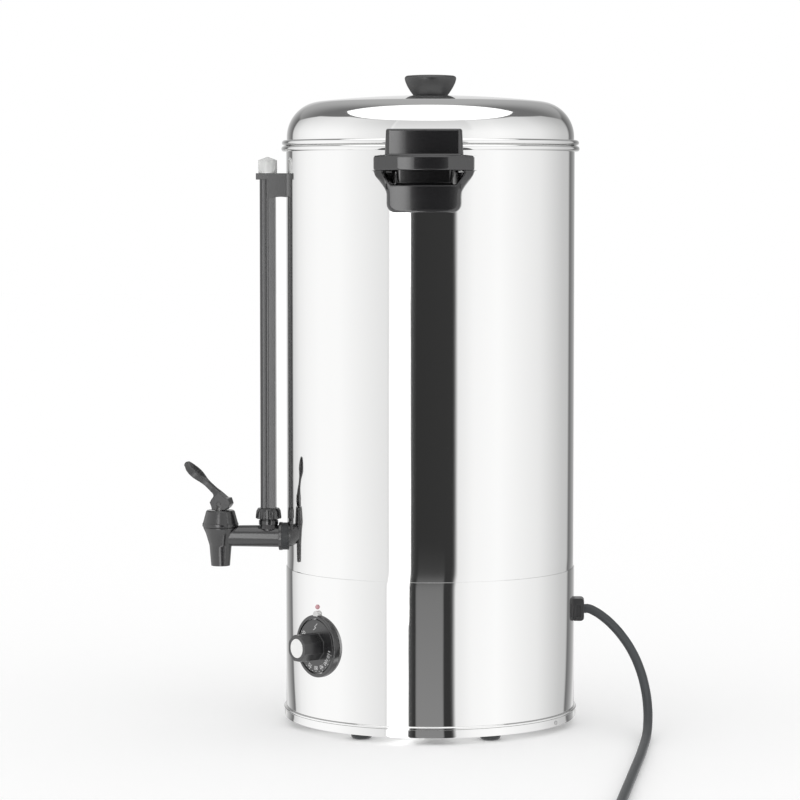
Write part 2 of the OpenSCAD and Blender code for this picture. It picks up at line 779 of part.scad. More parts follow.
module thermostat() {
    body_w = 40;
    body_h = 30;
    body_t = 24;
    color("#d8d2c0") facing(control_angle) translate([0, 0, dial_z]) difference() {
        union() {
            translate([thermostat_x - body_t, -body_w / 2, -body_h / 2])
                cube([body_t, body_w, body_h]);
            rod_x(thermostat_x - cut, base_r + 0.3, bushing_r);
            for (side = [-1, 1])
                translate([0, side * thermostat_screw_gap, 0])
                    rod_x(thermostat_x - cut, base_in - 1.4, 4);
            for (side = [-1, 1])
                translate([thermostat_x - body_t - 8, side * 12 - 3.15, -0.4])
                    cube([9, 6.3, 0.8]);
        }
        rod_x(thermostat_x - body_t + 4, base_r + 10, shaft_r + run_gap);
        for (side = [-1, 1])
            translate([0, side * thermostat_screw_gap, 0])
                rod_x(thermostat_x - 6, base_r + 1, thermostat_screw_r);
    }
}

module thermostat_shaft() {
    color("lightgray") facing(control_angle) translate([0, 0, dial_z]) difference() {
        rod_x(thermostat_x - 18, grip_x - 6, shaft_r);
        translate([disc_x, -shaft_r, shaft_r - 1.4]) cube([40, 2 * shaft_r, 5]);
    }
}

module thermostat_screws() {
    color("silver") facing(control_angle) translate([0, 0, dial_z])
        for (side = [-1, 1])
            translate([0, side * thermostat_screw_gap, 0])
                screw_x(base_r + 0.1, -1, 7, thermostat_screw_r, 3.4, 0.75);
}

module thermostat_bulb() {
    bulb_z = plate_z - 3.2;
    start = [(thermostat_x - 24) * cos(control_angle), (thermostat_x - 24) * sin(control_angle),
        dial_z + 10];
    color("peru") {
        swept_tube(smooth([start, start + [-9, 9, 2], [62, -66, dial_z + 30],
            [50, -50, bulb_z - 14], [38, -41.5, bulb_z - 2], [26, -40, bulb_z]]), 0.8, 8);
        translate([-44, -40, bulb_z]) rotate([0, 90, 0]) cylinder(h = 70.5, r = 3, $fn = 24);
    }
}

module dial_bezel() {
    bezel_front = disc_x + 0.7;
    color("#202020") facing(control_angle) difference() {
        union() {
            translate([0, 0, dial_z]) rotate([0, 90, 0]) rotate_extrude($fn = mid)
                polygon(concat(
                    [[dial_r + dial_gap, base_r - 5], [bezel_r, base_r - 5]],
                    arc(bezel_r - 1.6, bezel_front - 1.6, 1.6, 0, 90, 4),
                    [[dial_r + dial_gap, bezel_front]]));
            // index at the top
            translate([0, 0, dial_z + bezel_r + 0.4])
                rod_x(base_r - 5, bezel_front - 0.6, 3.6);
        }
        translate([0, 0, dial_z - 60]) cylinder(h = 120, r = base_r + 0.05, $fn = big);
        translate([0, 0, dial_z]) rod_x(base_r - 5, bezel_front + 5, dial_r + dial_gap);
    }
}

module dial_knob() {
    grip_r = grip_flats / 2 / cos(22.5);
    rim = 1.2;
    color("#2a2a2a") facing(control_angle) translate([0, 0, dial_z]) difference() {
        union() {
            rod_x(disc_back, disc_x, dial_r);
            intersection() {
                translate([disc_x - cut, 0, 0]) rotate([0, 90, 0]) rotate([0, 0, 22.5])
                    cylinder(h = grip_h + cut, r = grip_r, $fn = 8);
                rotate([0, 90, 0]) translate([0, 0, disc_x - cut])
                    cylinder(h = grip_h + cut, r1 = grip_r + 2.2, r2 = grip_r - rim / 2, $fn = mid);
            }
        }
        rod_x(disc_back - cut, grip_x - 5, shaft_r);
        rod_x(grip_x - 1.6, grip_x + cut, dial_cap_r + 0.1);
    }
}

module dial_cap() {
    color("white") facing(control_angle) translate([0, 0, dial_z])
        rod_x(grip_x - 1.6, grip_x + 0.2, dial_cap_r);
}

module pilot_lens() {
    color("red") facing(control_angle) translate([0, 0, dial_z + lamp_rise])
        rotate([0, 90, 0]) rotate_extrude($fn = 24) polygon(concat(
            [[0, base_in - 8], [lamp_r, base_in - 8], [lamp_r, base_r]],
            [[lamp_r + 0.4, base_r + 0.05], [lamp_r + 0.4, base_r + 0.6]],
            arc(0, base_r + 0.6, lamp_r, 0, 90, 4)));
}

module pilot_lamp() {
    color("#e8e8e0") facing(control_angle) translate([0, 0, dial_z + lamp_rise]) difference() {
        union() {
            rod_x(base_in - 30, base_in - 0.2, lamp_body_r);
            for (side = [-1, 1])
                translate([base_in - 37, side * 2.4 - 0.4, -1.4]) cube([8, 0.8, 2.8]);
        }
        rod_x(base_in - 8, base_in + 5, lamp_r + 0.02);
    }
}

// ---- wiring ----

block_at = [20, base_in - 38, pan_z + pan_wall];
block_size = [46, 22, 26];
lead_r = 1.4;
// Where the block's way number i opens.
function way(i) = block_at + [8 + i * 15, 0, 16];

module terminal_block() {
    ways = 3;
    color("#e8e8e0") difference() {
        translate(block_at) union() {
            cube([block_size[0], block_size[1], 8]);
            for (i = [0:ways - 1])
                translate([2 + i * 15, 1, 7])
                    cube([12, block_size[1] - 2, block_size[2] - 7]);
        }
        for (i = [0:ways - 1])
            translate(way(i) - [0, cut, 0]) rotate([-90, 0, 0])
                cylinder(h = block_size[1] + 2 * cut, r = lead_r + 0.6, $fn = 24);
    }
}

module earth_screw() {
    color("#b08d3c") translate([-24, base_in - 32, pan_z + pan_wall]) {
        cylinder(h = 12, r = 2.5, $fn = 24);
        translate([0, 0, 3]) cylinder(h = 1, r = 6, $fn = 24);
        translate([0, 0, 5]) cylinder(h = 4, r = 4.6, $fn = 6);
    }
}

// Leads from the terminal block to the thermostat, the cutout and the element.
module wiring() {
    tab_x = thermostat_x - 33;
    function out(x, y) = [x * cos(control_angle) - y * sin(control_angle),
        x * sin(control_angle) + y * cos(control_angle), dial_z];
    // straight out of the block's way number i
    function entry(i) = [for (y = [6, -2, -8]) way(i) + [0, y, 0]];
    leads = [
        concat(entry(0), [[28, 90, 36], [50, 30, 60], [74, -40, 78], out(tab_x, 12)]),
        [out(tab_x, -12), [60, -84, 78], [20, -50, 100], [5, -18, 128],
            [4.5, -2, plate_z - 24], [4.5, 0, plate_z - 18]],
        [[-4.5, 0, plate_z - 18], [-4.5, 3, plate_z - 24], [-8, 40, 112],
            [-16, 78, 116], [-19, 85, element_z - 39]],
        concat(entry(1), [[43, 92, 38], [30, 80, 88], [20, 82, 108], [19, 85, element_z - 39]])];
    color("#8c3b2a") for (lead = leads) swept_tube(smooth(lead), lead_r, 8);
}

// ---- cord ----

gland_neck_w = 13;
gland_neck_h = 15;

module cord_gland() {
    head = 3.6;
    half_h = gland_h / 2;
    color("#202020") facing(cord_angle) translate([0, 0, gland_z]) difference() {
        union() {
            // head, rounded where it faces out
            translate([0, gland_w / 2, 0]) rotate([90, 0, 0]) linear_extrude(height = gland_w)
                polygon(concat(
                    [[base_r - 2, -half_h + 1.2], [base_r + 0.4, -half_h]],
                    arc(gland_x - head, -half_h + head, head, -90, 0, 5),
                    arc(gland_x - head, half_h - head, head, 0, 90, 5),
                    [[base_r + 0.4, half_h], [base_r - 2, half_h - 1.2]]));
            // neck and barbs inside the shell
            translate([base_r - 16, -gland_neck_w / 2, -gland_neck_h / 2])
                cube([17, gland_neck_w, gland_neck_h]);
            for (side = [-1, 1])
                translate([base_in - 14, -gland_neck_w / 2, side * (gland_neck_h / 2 + 0.8) - 0.8])
                    cube([12, gland_neck_w, 1.6]);
        }
        // windows in the sides of the head
        for (side = [-1, 1])
            translate([base_r + 2, side * gland_w / 2 - 2, -half_h + 3.4])
                cube([5, 4, gland_h - 10]);
        difference() {
            translate([0, 0, -20]) cylinder(h = 40, r = base_r + 0.05, $fn = big);
            translate([0, -gland_neck_w / 2, -gland_neck_h / 2 - 2])
                cube([200, gland_neck_w, gland_neck_h + 4]);
        }
        difference() {
            translate([0, 0, -20]) cylinder(h = 40, r = base_r + 0.05, $fn = big);
            translate([0, 0, -21]) cylinder(h = 42, r = base_in - 1.5, $fn = big);
            translate([0, -gland_neck_w / 2, -gland_neck_h / 2])
                cube([200, gland_neck_w, gland_neck_h]);
        }
        rod_x(base_r - 20, gland_x + cut, cord_r - 0.6);
    }
}

module cord_lead() { color("#202020") swept_tube(cord_route, cord_r, 12); }
module cord_tail() { color("#202020") swept_tube(tail_route, cord_r, 12); }

module cord_coil() {
    color("#202020") translate([coil_centre[0], coil_centre[1], 0]) rotate_extrude($fn = mid)
        translate([coil_in, 0]) square([coil_out - coil_in, coil_layers * 2 * cord_r]);
}

// Built along +X from the end of its strain relief, then turned to point along -Y.
module plug_frame() {
    translate(plug_at) rotate([0, 0, -90]) children();
}

relief_h = 26;

module plug_body() {
    end = relief_h + plug_length;
    color("#202020") plug_frame() difference() {
        rotate([0, 90, 0]) rotate_extrude($fn = mid) polygon(concat(
            [[0, 0], [cord_r + 0.8, 0], [cord_r + 1.6, 4], [cord_r + 3.2, relief_h - 4]],
            arc(12 - 4, relief_h + 4, 4, -90, 0, 3),
            [[12, relief_h + 10], [plug_r - 1, relief_h + 20], [plug_r, relief_h + 22]],
            [[plug_r, end], [0, end]]));
        // finger flats and earth clip slots
        for (side = [-1, 1])
            translate([relief_h + 19, side * (plug_r - 1.2), -3])
                translate([0, side > 0 ? 0 : -4, 0]) cube([plug_length, 4, 6]);
    }
}

module plug_pins() {
    end = relief_h + plug_length;
    color("silver") plug_frame() for (side = [-1, 1])
        translate([0, 0, side * 9.5]) rotate([0, 90, 0]) rotate_extrude($fn = 24)
            polygon([[0, end], [plug_pin_r, end], [plug_pin_r, end + 17.4],
                [plug_pin_r - 0.9, end + 19], [0, end + 19]]);
}

// ---- tap ----

// Outside line of the barrel and spout, as [radius, height above the shank's axis].
function barrel_line() = [[spout_r, -spout_drop], [arm_r + 0.2, -11], [arm_r + 0.7, -8.6],
    [barrel_r - 2.6, 2.6], [barrel_r - 0.4, barrel_rise - 2],
    [barrel_r, barrel_rise - 1.4], [barrel_r, barrel_rise - 0.2], [barrel_r - 0.2, barrel_rise]];
thread_r = 15;

module tap_body() {
    spigot_top = barrel_top + 7;
    tee_top = nut_z + 6;
    color("#202020") facing(tap_angle) difference() {
        union() {
            // barrel, spout and the threaded ring for the bonnet
            translate([tap_x, 0, tap_z]) rotate_extrude($fn = mid)
                polygon(concat([[0, -spout_drop]], barrel_line(), [[0, barrel_rise]]));
            translate([tap_x, 0, barrel_top - cut])
                cylinder(h = spigot_top - barrel_top + cut, r = thread_r, $fn = mid);
            // arm, ending under the bonnet, then flange and shank
            difference() {
                translate([tank_r + 8.6, 0, tap_z]) rotate([0, 90, 0])
                    cylinder(h = tap_reach - 8.6, r1 = arm_r + 0.2, r2 = arm_r - 0.5, $fn = mid);
                translate([tap_x, 0, barrel_top]) cylinder(h = 20, r = bonnet_r + 0.3, $fn = mid);
            }
            translate([0, 0, tap_z]) {
                rod_x(tank_r + 5.4, tank_r + 8.7, flange_r);
                rod_x(tank_r - shank_in, tank_r + 6, shank_r);
            }
            // tee and collar under the gauge
            translate([gauge_x, 0, tap_z]) {
                cylinder(h = nut_z - tap_z - 0.4, r = 9.4, $fn = mid);
                cylinder(h = tee_top - tap_z, r = 8, $fn = mid);
                translate([0, 0, nut_z - tap_z - 6.2])
                    cylinder(h = 4.4, r = 10.25, $fn = mid);
            }
            translate([gauge_x, 0, tap_z + arm_r - 3.4])
                cylinder(h = 4.6, r1 = 11.2, r2 = 9.4, $fn = mid);
        }
        translate([0, 0, tap_z]) rod_x(tank_r - shank_in - cut, tap_x, bore_r);
        // valve chamber with its seat, and the outlet
        translate([tap_x, 0, seat_z]) cylinder(h = spigot_top - seat_z + cut, r = cup_r + 1.2, $fn = mid);
        translate([tap_x, 0, tap_z - spout_drop - cut])
            cylinder(h = spout_drop + cut, r = spout_bore_r, $fn = mid);
        // way up to the gauge
        translate([gauge_x, 0, tap_z]) cylinder(h = 40, r = glass_r - glass_wall, $fn = mid);
        translate([gauge_x, 0, glass_z]) cylinder(h = 40, r = glass_r + 0.1, $fn = mid);
    }
}

cup_r = 8.4;

module tap_gasket() {
    color("#151515") facing(tap_angle) translate([0, 0, tap_z]) difference() {
        rod_x(tank_r - 2, tank_r + 5.4, flange_r - 0.6);
        rod_x(tank_r - 3, tank_r + 6, shank_r + 0.05);
        translate([0, 0, -30]) cylinder(h = 60, r = tank_r + 0.05, $fn = big);
    }
}

module tap_seal() {
    color("#b04030") facing(tap_angle) translate([0, 0, tap_z])
        wall_seal(shank_r + 0.05, tap_seal_r);
}

tap_seal_r = 12;
tap_nut_t = 6;

module tap_nut() {
    nut_x = tank_in - seal_t - flat_drop(tap_seal_r) - tap_nut_t;
    color("silver") facing(tap_angle) translate([0, 0, tap_z]) difference() {
        translate([nut_x, 0, 0]) rotate([0, 90, 0]) cylinder(h = tap_nut_t, r = 13, $fn = 6);
        rod_x(nut_x - cut, nut_x + tap_nut_t + cut, shank_r);
    }
}

module tap_bonnet() {
    roof = 3;
    color("#262626") facing(tap_angle) translate([tap_x, 0, 0]) difference() {
        rotate_extrude($fn = mid) polygon([[0, bonnet_z], [bonnet_r - 0.6, bonnet_z],
            [bonnet_r, bonnet_z + 0.8], [bonnet_r, bonnet_z + 3.6], [bonnet_r - 0.7, bonnet_z + 4.6],
            [bonnet_top_r + 0.5, bonnet_top - 1.2], [bonnet_top_r - 0.7, bonnet_top], [0, bonnet_top]]);
        translate([0, 0, bonnet_z - cut]) cylinder(h = 7.2 + cut, r = thread_r + 0.05, $fn = mid);
        translate([0, 0, bonnet_z]) cylinder(h = bonnet_h - roof, r = spring_r + 2, $fn = mid);
        translate([0, 0, bonnet_z]) cylinder(h = bonnet_h + cut, r = stem_r + run_gap, $fn = mid);
    }
}

spring_r = 6.4;
spring_wire_r = 0.6;
cup_top = tap_z + 6.5;
spring_z = cup_top + 0.1;
spring_top = bonnet_top - 3.1;

eye_half = 3.2;       // half the width of the stem's eye
eye_r = stem_r - 0.2; // and its radius

module tap_stem() {
    foot = seat_z + 2.4;
    color("lightgray") facing(tap_angle) translate([tap_x, 0, 0]) rotate([0, 0, -lever_turn]) difference() {
        union() {
            translate([0, 0, foot]) cylinder(h = pin_z - foot, r = stem_r, $fn = mid);
            translate([0, 0, cup_top - 2.2]) cylinder(h = 2.2, r = cup_r - 0.4, $fn = mid);
            translate([0, eye_half, pin_z]) rotate([90, 0, 0])
                cylinder(h = 2 * eye_half, r = eye_r, $fn = mid);
        }
        translate([0, 10, pin_z]) rotate([90, 0, 0]) cylinder(h = 20, r = pin_r, $fn = mid);
        // flats beside the eye
        for (side = [-1, 1])
            translate([-stem_r - 1, side * (eye_half + 5) - 5, pin_z - stem_r - 0.5])
                cube([2 * stem_r + 2, 10, stem_r + 1]);
    }
}

module seat_cup() {
    color("#d8d8d0") facing(tap_angle) translate([tap_x, 0, 0]) difference() {
        rotate_extrude($fn = mid) polygon([[0, seat_z], [spout_bore_r + 0.4, seat_z], [cup_r, seat_z + 1.4],
            [cup_r, seat_z + 3], [6.2, seat_z + 5.4], [6.2, cup_top - 2.2], [0, cup_top - 2.2]]);
        translate([0, 0, seat_z + 2.4]) cylinder(h = 20, r = stem_r, $fn = mid);
    }
}

module tap_spring() {
    turns = 6;
    per_turn = 12;
    low = spring_z + spring_wire_r;
    high = spring_top - spring_wire_r;
    helix = [for (i = [0:turns * per_turn]) let (a = 360 * i / per_turn)
        [spring_r * cos(a), spring_r * sin(a), low + (high - low) * i / (turns * per_turn)]];
    color("silver") facing(tap_angle) translate([tap_x, 0, 0]) swept_tube(helix, spring_wire_r, 6);
}

// Side view of the lever: a hooked root on the pin, a raised arm and the thumb pad.
module lever_side() {
    foot = root_bottom - pin_z;
    along = [cos(lever_rise), sin(lever_rise)];
    across = [-sin(lever_rise), cos(lever_rise)];
    low = 3.1; // height of the arm's underside above the line through the pin
    top = low + arm_t;
    // a point at a distance along the arm and above that line
    function at(run, up) = run * along + up * across;
    polygon(concat(
        [[-6.8, foot], [toe_x, foot], [8.6, foot + 5], [9.9, foot + 7.8], [8.1, foot + 11.2],
            [6.2, foot + 13.6], [6, foot + 15.4], [6.6, foot + 16.8]],
        [at(15, low), at(22, low + 0.3), at(30, low), at(37, low - 0.5), at(44, low - 0.7),
            at(49, low - 0.3), at(53, low + 0.9)],
        [for (a = [-60:30:60]) at(lever_length - 2.7, top - 2.5) + 2.7 * (cos(a) * along + sin(a) * across)],
        [at(51, top - 0.1), at(44, top + 0.1), at(37, top), at(30, top - 0.2), at(23, top - 0.3),
            at(15, top - 0.2), at(7, top + 0.1), at(-1, top + 0.4)],
        [[-7.2, foot + 13], [-10.6, foot + 12.6], [-12.6, foot + 6.4], [-10, foot + 2.6]]));
}

toe_x = 7.3;  // front edge of the lever's foot

// Half width of the lever at a distance along the arm.
function lever_half(run) = run < 40
    ? root_w / 2 - (root_w / 2 - waist_w / 2) * ease((run - 6) / 10)
        + (pad_w - waist_w) / 2 * ease((run - 24) / 16)
    : pad_w / 2 * sqrt(max(0, 1 - pow((run - 40) / (lever_length - 39.8), 2)));

module lever_plan() {
    runs = concat([-20], [for (run = [8:3:38]) run], [for (i = [0:8]) 40 + (lever_length - 40) * sin(90 * i / 8)]);
    polygon(concat([for (run = runs) [run, lever_half(run)]],
        [for (i = [len(runs) - 1:-1:0]) [runs[i], -lever_half(runs[i])]]));
}

// The dish of the thumb pad, with ribs left standing in it, along X.
module thumb_dish() {
    dish_r = 15;
    depth = 3;
    half = pad_length / 2 - 2.5;
    bow_r = (half * half + depth * depth) / (2 * depth);
    function belly(x) = dish_r - bow_r + sqrt(bow_r * bow_r - x * x);
    translate([lever_length - 3 - half, 0, 3.1 + arm_t + dish_r - depth]) difference() {
        rotate([0, 90, 0]) rotate_extrude($fn = 64) polygon(concat([[0, -half]],
            [for (i = [-5:5]) [belly(half * i / 5), half * i / 5]], [[0, half]]));
        for (i = [0:rib_count - 1])
            translate([half * (-0.62 + 1.24 * i / (rib_count - 1)) - 0.5, 0, 0]) difference() {
                rotate([0, 90, 0]) cylinder(h = 1, r = dish_r + 1, $fn = 64);
                translate([-cut, 0, 0]) rotate([0, 90, 0])
                    cylinder(h = 1 + 2 * cut, r = dish_r - 0.9, $fn = 64);
            }
    }
}

// The lever's own frame: at the pin, with +X along the lever.
module lever_frame() {
    facing(tap_angle) translate([tap_x, 0, pin_z]) rotate([0, 0, -lever_turn]) children();
}

module tap_lever() {
    foot = root_bottom - pin_z;
    room = stem_r + 0.6;
    color("#202020") lever_frame() difference() {
        intersection() {
            translate([0, root_w, 0]) rotate([90, 0, 0]) linear_extrude(height = 2 * root_w)
                lever_side();
            rotate([0, -lever_rise, 0]) translate([0, 0, -30]) linear_extrude(height = 60)
                lever_plan();
        }
        rotate([0, -lever_rise, 0]) thumb_dish();
        // groove along the arm
        rotate([0, -lever_rise, 0]) translate([8, -1.6, 6.6]) cube([17, 3.2, 10]);
        // room for the stem, which swings forward in the root as the lever goes down
        translate([0, room, 0]) rotate([90, 0, 0]) linear_extrude(height = 2 * room)
            polygon([[-room, foot - cut], [-room, room], [room, room], [room, 1], [11.5, foot - cut]]);
        // the pin's seat, open below so that the lever snaps onto it
        translate([0, 20, 0]) rotate([90, 0, 0]) linear_extrude(height = 40) union() {
            circle(r = pin_r + run_gap, $fn = mid);
            translate([-pin_r - run_gap + 0.25, foot - cut])
                square([2 * (pin_r + run_gap) - 0.5, cut - foot]);
        }
    }
}

module lever_pin() {
    color("silver") lever_frame() translate([0, (root_w - 0.6) / 2, 0])
        rotate([90, 0, 0]) cylinder(h = root_w - 0.6, r = pin_r, $fn = mid);
}

// ---- sight gauge ----

module gauge_nut() {
    lobe_r = 2.6;
    color("#262626") facing(tap_angle) translate([gauge_x, 0, nut_z]) difference() {
        intersection() {
            union() {
                cylinder(h = gauge_nut_h, r = gauge_nut_r - 1.3, $fn = mid);
                for (i = [0:nut_lobes - 1])
                    rotate([0, 0, 360 * i / nut_lobes]) translate([gauge_nut_r - lobe_r, 0, 0])
                        cylinder(h = gauge_nut_h, r = lobe_r, $fn = 24);
            }
            rotate_extrude($fn = mid) polygon([[0, 0], [gauge_nut_r - 0.4, 0], [gauge_nut_r, 1],
                [gauge_nut_r - 0.8, gauge_nut_h - 3], [gauge_nut_r - 2.4, gauge_nut_h],
                [0, gauge_nut_h]]);
        }
        translate([0, 0, -cut]) cylinder(h = gauge_nut_h - 2 + cut, r = 8.05, $fn = mid);
        cylinder(h = gauge_nut_h + cut, r = glass_r + 0.3, $fn = mid);
    }
}

module gauge_seal() {
    color("#151515") facing(tap_angle) translate([gauge_x, 0, nut_z + 6]) difference() {
        cylinder(h = gauge_nut_h - 8, r = 7.9, $fn = mid);
        translate([0, 0, -cut]) cylinder(h = gauge_nut_h, r = glass_r, $fn = mid);
    }
}

module gauge_tube() {
    color([0.85, 0.9, 0.92, 0.4]) facing(tap_angle) translate([gauge_x, 0, glass_z]) difference() {
        cylinder(h = glass_top - glass_z, r = glass_r, $fn = mid);
        translate([0, 0, -cut]) cylinder(h = glass_top - glass_z + 2 * cut, r = glass_r - glass_wall, $fn = mid);
    }
}

// Plan of the guard: a channel open to the front, with a step along both sides.
module guard_plan(grow) {
    half = guard_side / 2;
    round = 3;
    difference() {
        polygon(concat(
            arc(half - round, half - round, round, 0, 90, 4),
            [[0.9, half], [0.9, half - 0.9 + grow], [-0.9, half - 0.9 + grow], [-0.9, half - 0.4 + grow]],
            [[-half - grow, half - 0.4 + grow], [-half - grow, -half + 0.4 - grow]],
            [[-0.9, -half + 0.4 - grow], [-0.9, -half + 0.9 - grow], [0.9, -half + 0.9 - grow], [0.9, -half]],
            arc(half - round, -half + round, round, -90, 0, 4)));
        if (grow == 0) {
            circle(r = glass_r + 0.4, $fn = mid);
            translate([0, -slot_w / 2]) square([half + 1, slot_w]);
        }
    }
}

module gauge_guard() {
    color("#202020") facing(tap_angle) translate([gauge_x, 0, guard_z])
        linear_extrude(height = bracket_top - guard_z) guard_plan(0);
}

module gauge_bracket() {
    half = guard_side / 2;
    lip_h = 6.6;
    lip_out = 3.6;
    side = half + 1.5;
    arch_r = 40;
    color("#303030") facing(tap_angle) translate([gauge_x, 0, 0]) difference() {
        union() {
            translate([-gauge_reach - 1, -side, bracket_z]) cube([gauge_reach + 0.4, 2 * side, bracket_h]);
            translate([-gauge_reach - 1, -side, bracket_top - lip_h])
                cube([gauge_reach + 1 + half + lip_out, 2 * side, lip_h]);
        }
        // arched underside
        translate([-half - (gauge_reach - half) / 2, side + cut, bracket_z - arch_r + 1.1])
            rotate([90, 0, 0]) cylinder(h = 2 * side + 2 * cut, r = arch_r, $fn = big);
        // seat of the guard
        translate([0, 0, bracket_z - cut]) linear_extrude(height = bracket_h + 2 * cut)
            square([2 * half + 0.1, 2 * half + 0.1], center = true);
        // seat against the tank
        translate([-gauge_x, 0, bracket_z - cut])
            cylinder(h = bracket_h + 2 * cut, r = tank_r + 0.05, $fn = big);
        translate([0, 0, bracket_z + bracket_h / 2])
            rod_x(-gauge_reach - 2, -half - 2, handle_screw_r);
    }
}

module gauge_cap() {
    cone_h = 5;
    low = bracket_top;
    color("#e8e8e4") facing(tap_angle) translate([gauge_x, 0, low]) difference() {
        rotate_extrude($fn = mid) polygon([[0, 0], [gauge_cap_r, 0],
            [gauge_cap_r - 0.2, gauge_cap_h - cone_h - 2], [gauge_cap_r - 0.7, gauge_cap_h - cone_h],
            [gauge_cap_r - 0.4, gauge_cap_h - cone_h + 0.8], [2.4, gauge_cap_h], [0, gauge_cap_h]]);
        translate([0, 0, -cut]) cylinder(h = glass_top - low + 0.2 + cut, r = glass_r + 0.05, $fn = mid);
        rod_x(0, gauge_cap_r + 2, 0.9);
        translate([0, 0, gauge_cap_h - cone_h - 1]) rotate([0, 0, 60]) rod_x(0, gauge_cap_r + 2, 0.9);
        translate([0, 0, glass_top - low]) cylinder(h = 2.4, r = 4, $fn = mid);
    }
}

tank();
tank_floor();
base_shell();
base_pan();
feet();
pan_screws();
lid();
lid_ring();
lid_knob();
lid_screw();
handle_right();
handle_left();
wall_screws();
wall_seals();
heat_plate();
heating_element();
cutout_switch();
thermostat();
thermostat_shaft();
thermostat_bulb();
thermostat_screws();
dial_bezel();
dial_knob();
dial_cap();
pilot_lamp();
pilot_lens();
terminal_block();
earth_screw();
wiring();
cord_gland();
cord_lead();
cord_coil();
cord_tail();
plug_body();
plug_pins();
tap_body();
tap_gasket();
tap_seal();
tap_nut();
tap_bonnet();
tap_stem();
seat_cup();
tap_spring();
tap_lever();
lever_pin();
gauge_nut();
gauge_seal();
gauge_tube();
gauge_guard();
gauge_bracket();
gauge_cap();
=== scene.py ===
"""Looks of the hot water urn: polished steel, black mouldings, glass and a rubber cord,
made around the fixed frame of the part. Metres, +Z up, the tap towards -Y."""
import json
import math

from collections import namedtuple

import bmesh
import bpy
from mathutils import Matrix, Vector


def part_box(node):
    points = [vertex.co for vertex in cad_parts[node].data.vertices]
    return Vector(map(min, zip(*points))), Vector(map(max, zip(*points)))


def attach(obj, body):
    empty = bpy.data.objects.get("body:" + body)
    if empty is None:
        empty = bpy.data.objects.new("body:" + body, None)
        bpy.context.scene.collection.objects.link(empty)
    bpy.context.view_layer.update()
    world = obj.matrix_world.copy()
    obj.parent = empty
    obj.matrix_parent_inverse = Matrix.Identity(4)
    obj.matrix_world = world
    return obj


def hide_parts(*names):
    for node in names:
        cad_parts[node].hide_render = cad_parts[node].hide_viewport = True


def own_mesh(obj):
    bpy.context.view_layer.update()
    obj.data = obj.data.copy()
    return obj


bl_info = {
    "name": "Hot Water Urn",
    "version": (1, 0, 0),
    "blender": (4, 5, 0),
    "location": "View3D > Sidebar > Urn",
    "description": "Makes the urn's steel, mouldings, glass and cord around its frame",
    "category": "Object",
}

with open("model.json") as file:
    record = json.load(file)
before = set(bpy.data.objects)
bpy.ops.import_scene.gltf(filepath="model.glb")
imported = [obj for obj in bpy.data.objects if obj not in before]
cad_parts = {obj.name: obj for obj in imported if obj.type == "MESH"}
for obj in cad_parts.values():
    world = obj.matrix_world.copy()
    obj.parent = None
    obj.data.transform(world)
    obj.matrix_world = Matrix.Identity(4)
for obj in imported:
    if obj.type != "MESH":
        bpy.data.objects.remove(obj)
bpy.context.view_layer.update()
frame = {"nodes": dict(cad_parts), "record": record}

MM = 0.001
FULL_TURN = 2 * math.pi
# How much flatter the lid's crown is than in the frame.
CROWN_DROP = 4.3 * MM
# How far the base's bead stands out from its shell, and the dial's disc in front of that.
BASE_BEAD_OUT = 2.6 * MM
DISC_OUT = 2.85 * MM
# The dial's direction round the urn, in degrees from +X.
DIAL_ANGLE = -47.3
# Edges that bend more than this are shaded sharp, and rounded, in degrees.
SHARP_BEND = 35
ROUNDED_BEND = 30


# ---- sizes and colours that a user would change ----

class UrnSizes(bpy.types.PropertyGroup):
    """Sizes of what is made here and not taken from the frame."""
    sheet: bpy.props.FloatProperty(
        name="Sheet", description="Thickness of the steel sheet",
        default=0.8 * MM, min=0.4 * MM, max=2 * MM, precision=4, unit="LENGTH")
    rim_bead: bpy.props.FloatProperty(
        name="Rim bead", description="Radius of the tank's rolled rim",
        default=3 * MM, min=2 * MM, max=4 * MM, precision=4, unit="LENGTH")
    lid_bead: bpy.props.FloatProperty(
        name="Lid bead", description="Radius of the lid's rolled edge",
        default=2.8 * MM, min=2 * MM, max=4 * MM, precision=4, unit="LENGTH")
    bead_out: bpy.props.FloatProperty(
        name="Bead reach", description="How far both rolled edges stand out from their walls",
        default=5.1 * MM, min=4 * MM, max=6 * MM, precision=4, unit="LENGTH")
    lid_shoulder: bpy.props.FloatProperty(
        name="Lid shoulder", description="Radius of the lid's shoulder",
        default=37 * MM, min=30 * MM, max=42 * MM, precision=4, unit="LENGTH")
    cord: bpy.props.FloatProperty(
        name="Cord", description="Diameter of the mains cord",
        default=9.5 * MM, min=8 * MM, max=9.5 * MM, precision=4, unit="LENGTH")
    numeral: bpy.props.FloatProperty(
        name="Numerals", description="Height of the numerals on the dial",
        default=4.3 * MM, min=2 * MM, max=5 * MM, precision=4, unit="LENGTH")
    round_steps: bpy.props.IntProperty(
        name="Round steps", description="Faces round the tank, the base and the lid",
        default=256, min=96, max=384)


def colour(name, description, default):
    """A colour property."""
    return bpy.props.FloatVectorProperty(
        name=name, description=description, default=default, size=3, min=0, max=1, subtype="COLOR")


class UrnColours(bpy.types.PropertyGroup):
    """Base colours of the finishes."""
    steel: colour("Steel", "Polished steel of the tank, base and lid", (0.85, 0.85, 0.846))
    moulding: colour("Moulding", "Black mouldings", (0.0125, 0.0125, 0.0135))
    rubber: colour("Rubber", "Cord and feet", (0.05, 0.054, 0.058))
    silicone: colour("Silicone", "Seals inside the tank", (0.45, 0.08, 0.05))
    # The lens colour is pale pink: painted glare over a red lens.
    lamp: colour("Lamp", "Lens of the pilot lamp", (0.62, 0.33, 0.36))
    print: colour("Print", "Marks and numerals on the dial", (0.9, 0.9, 0.9))


# ---- node graphs written as expressions ----

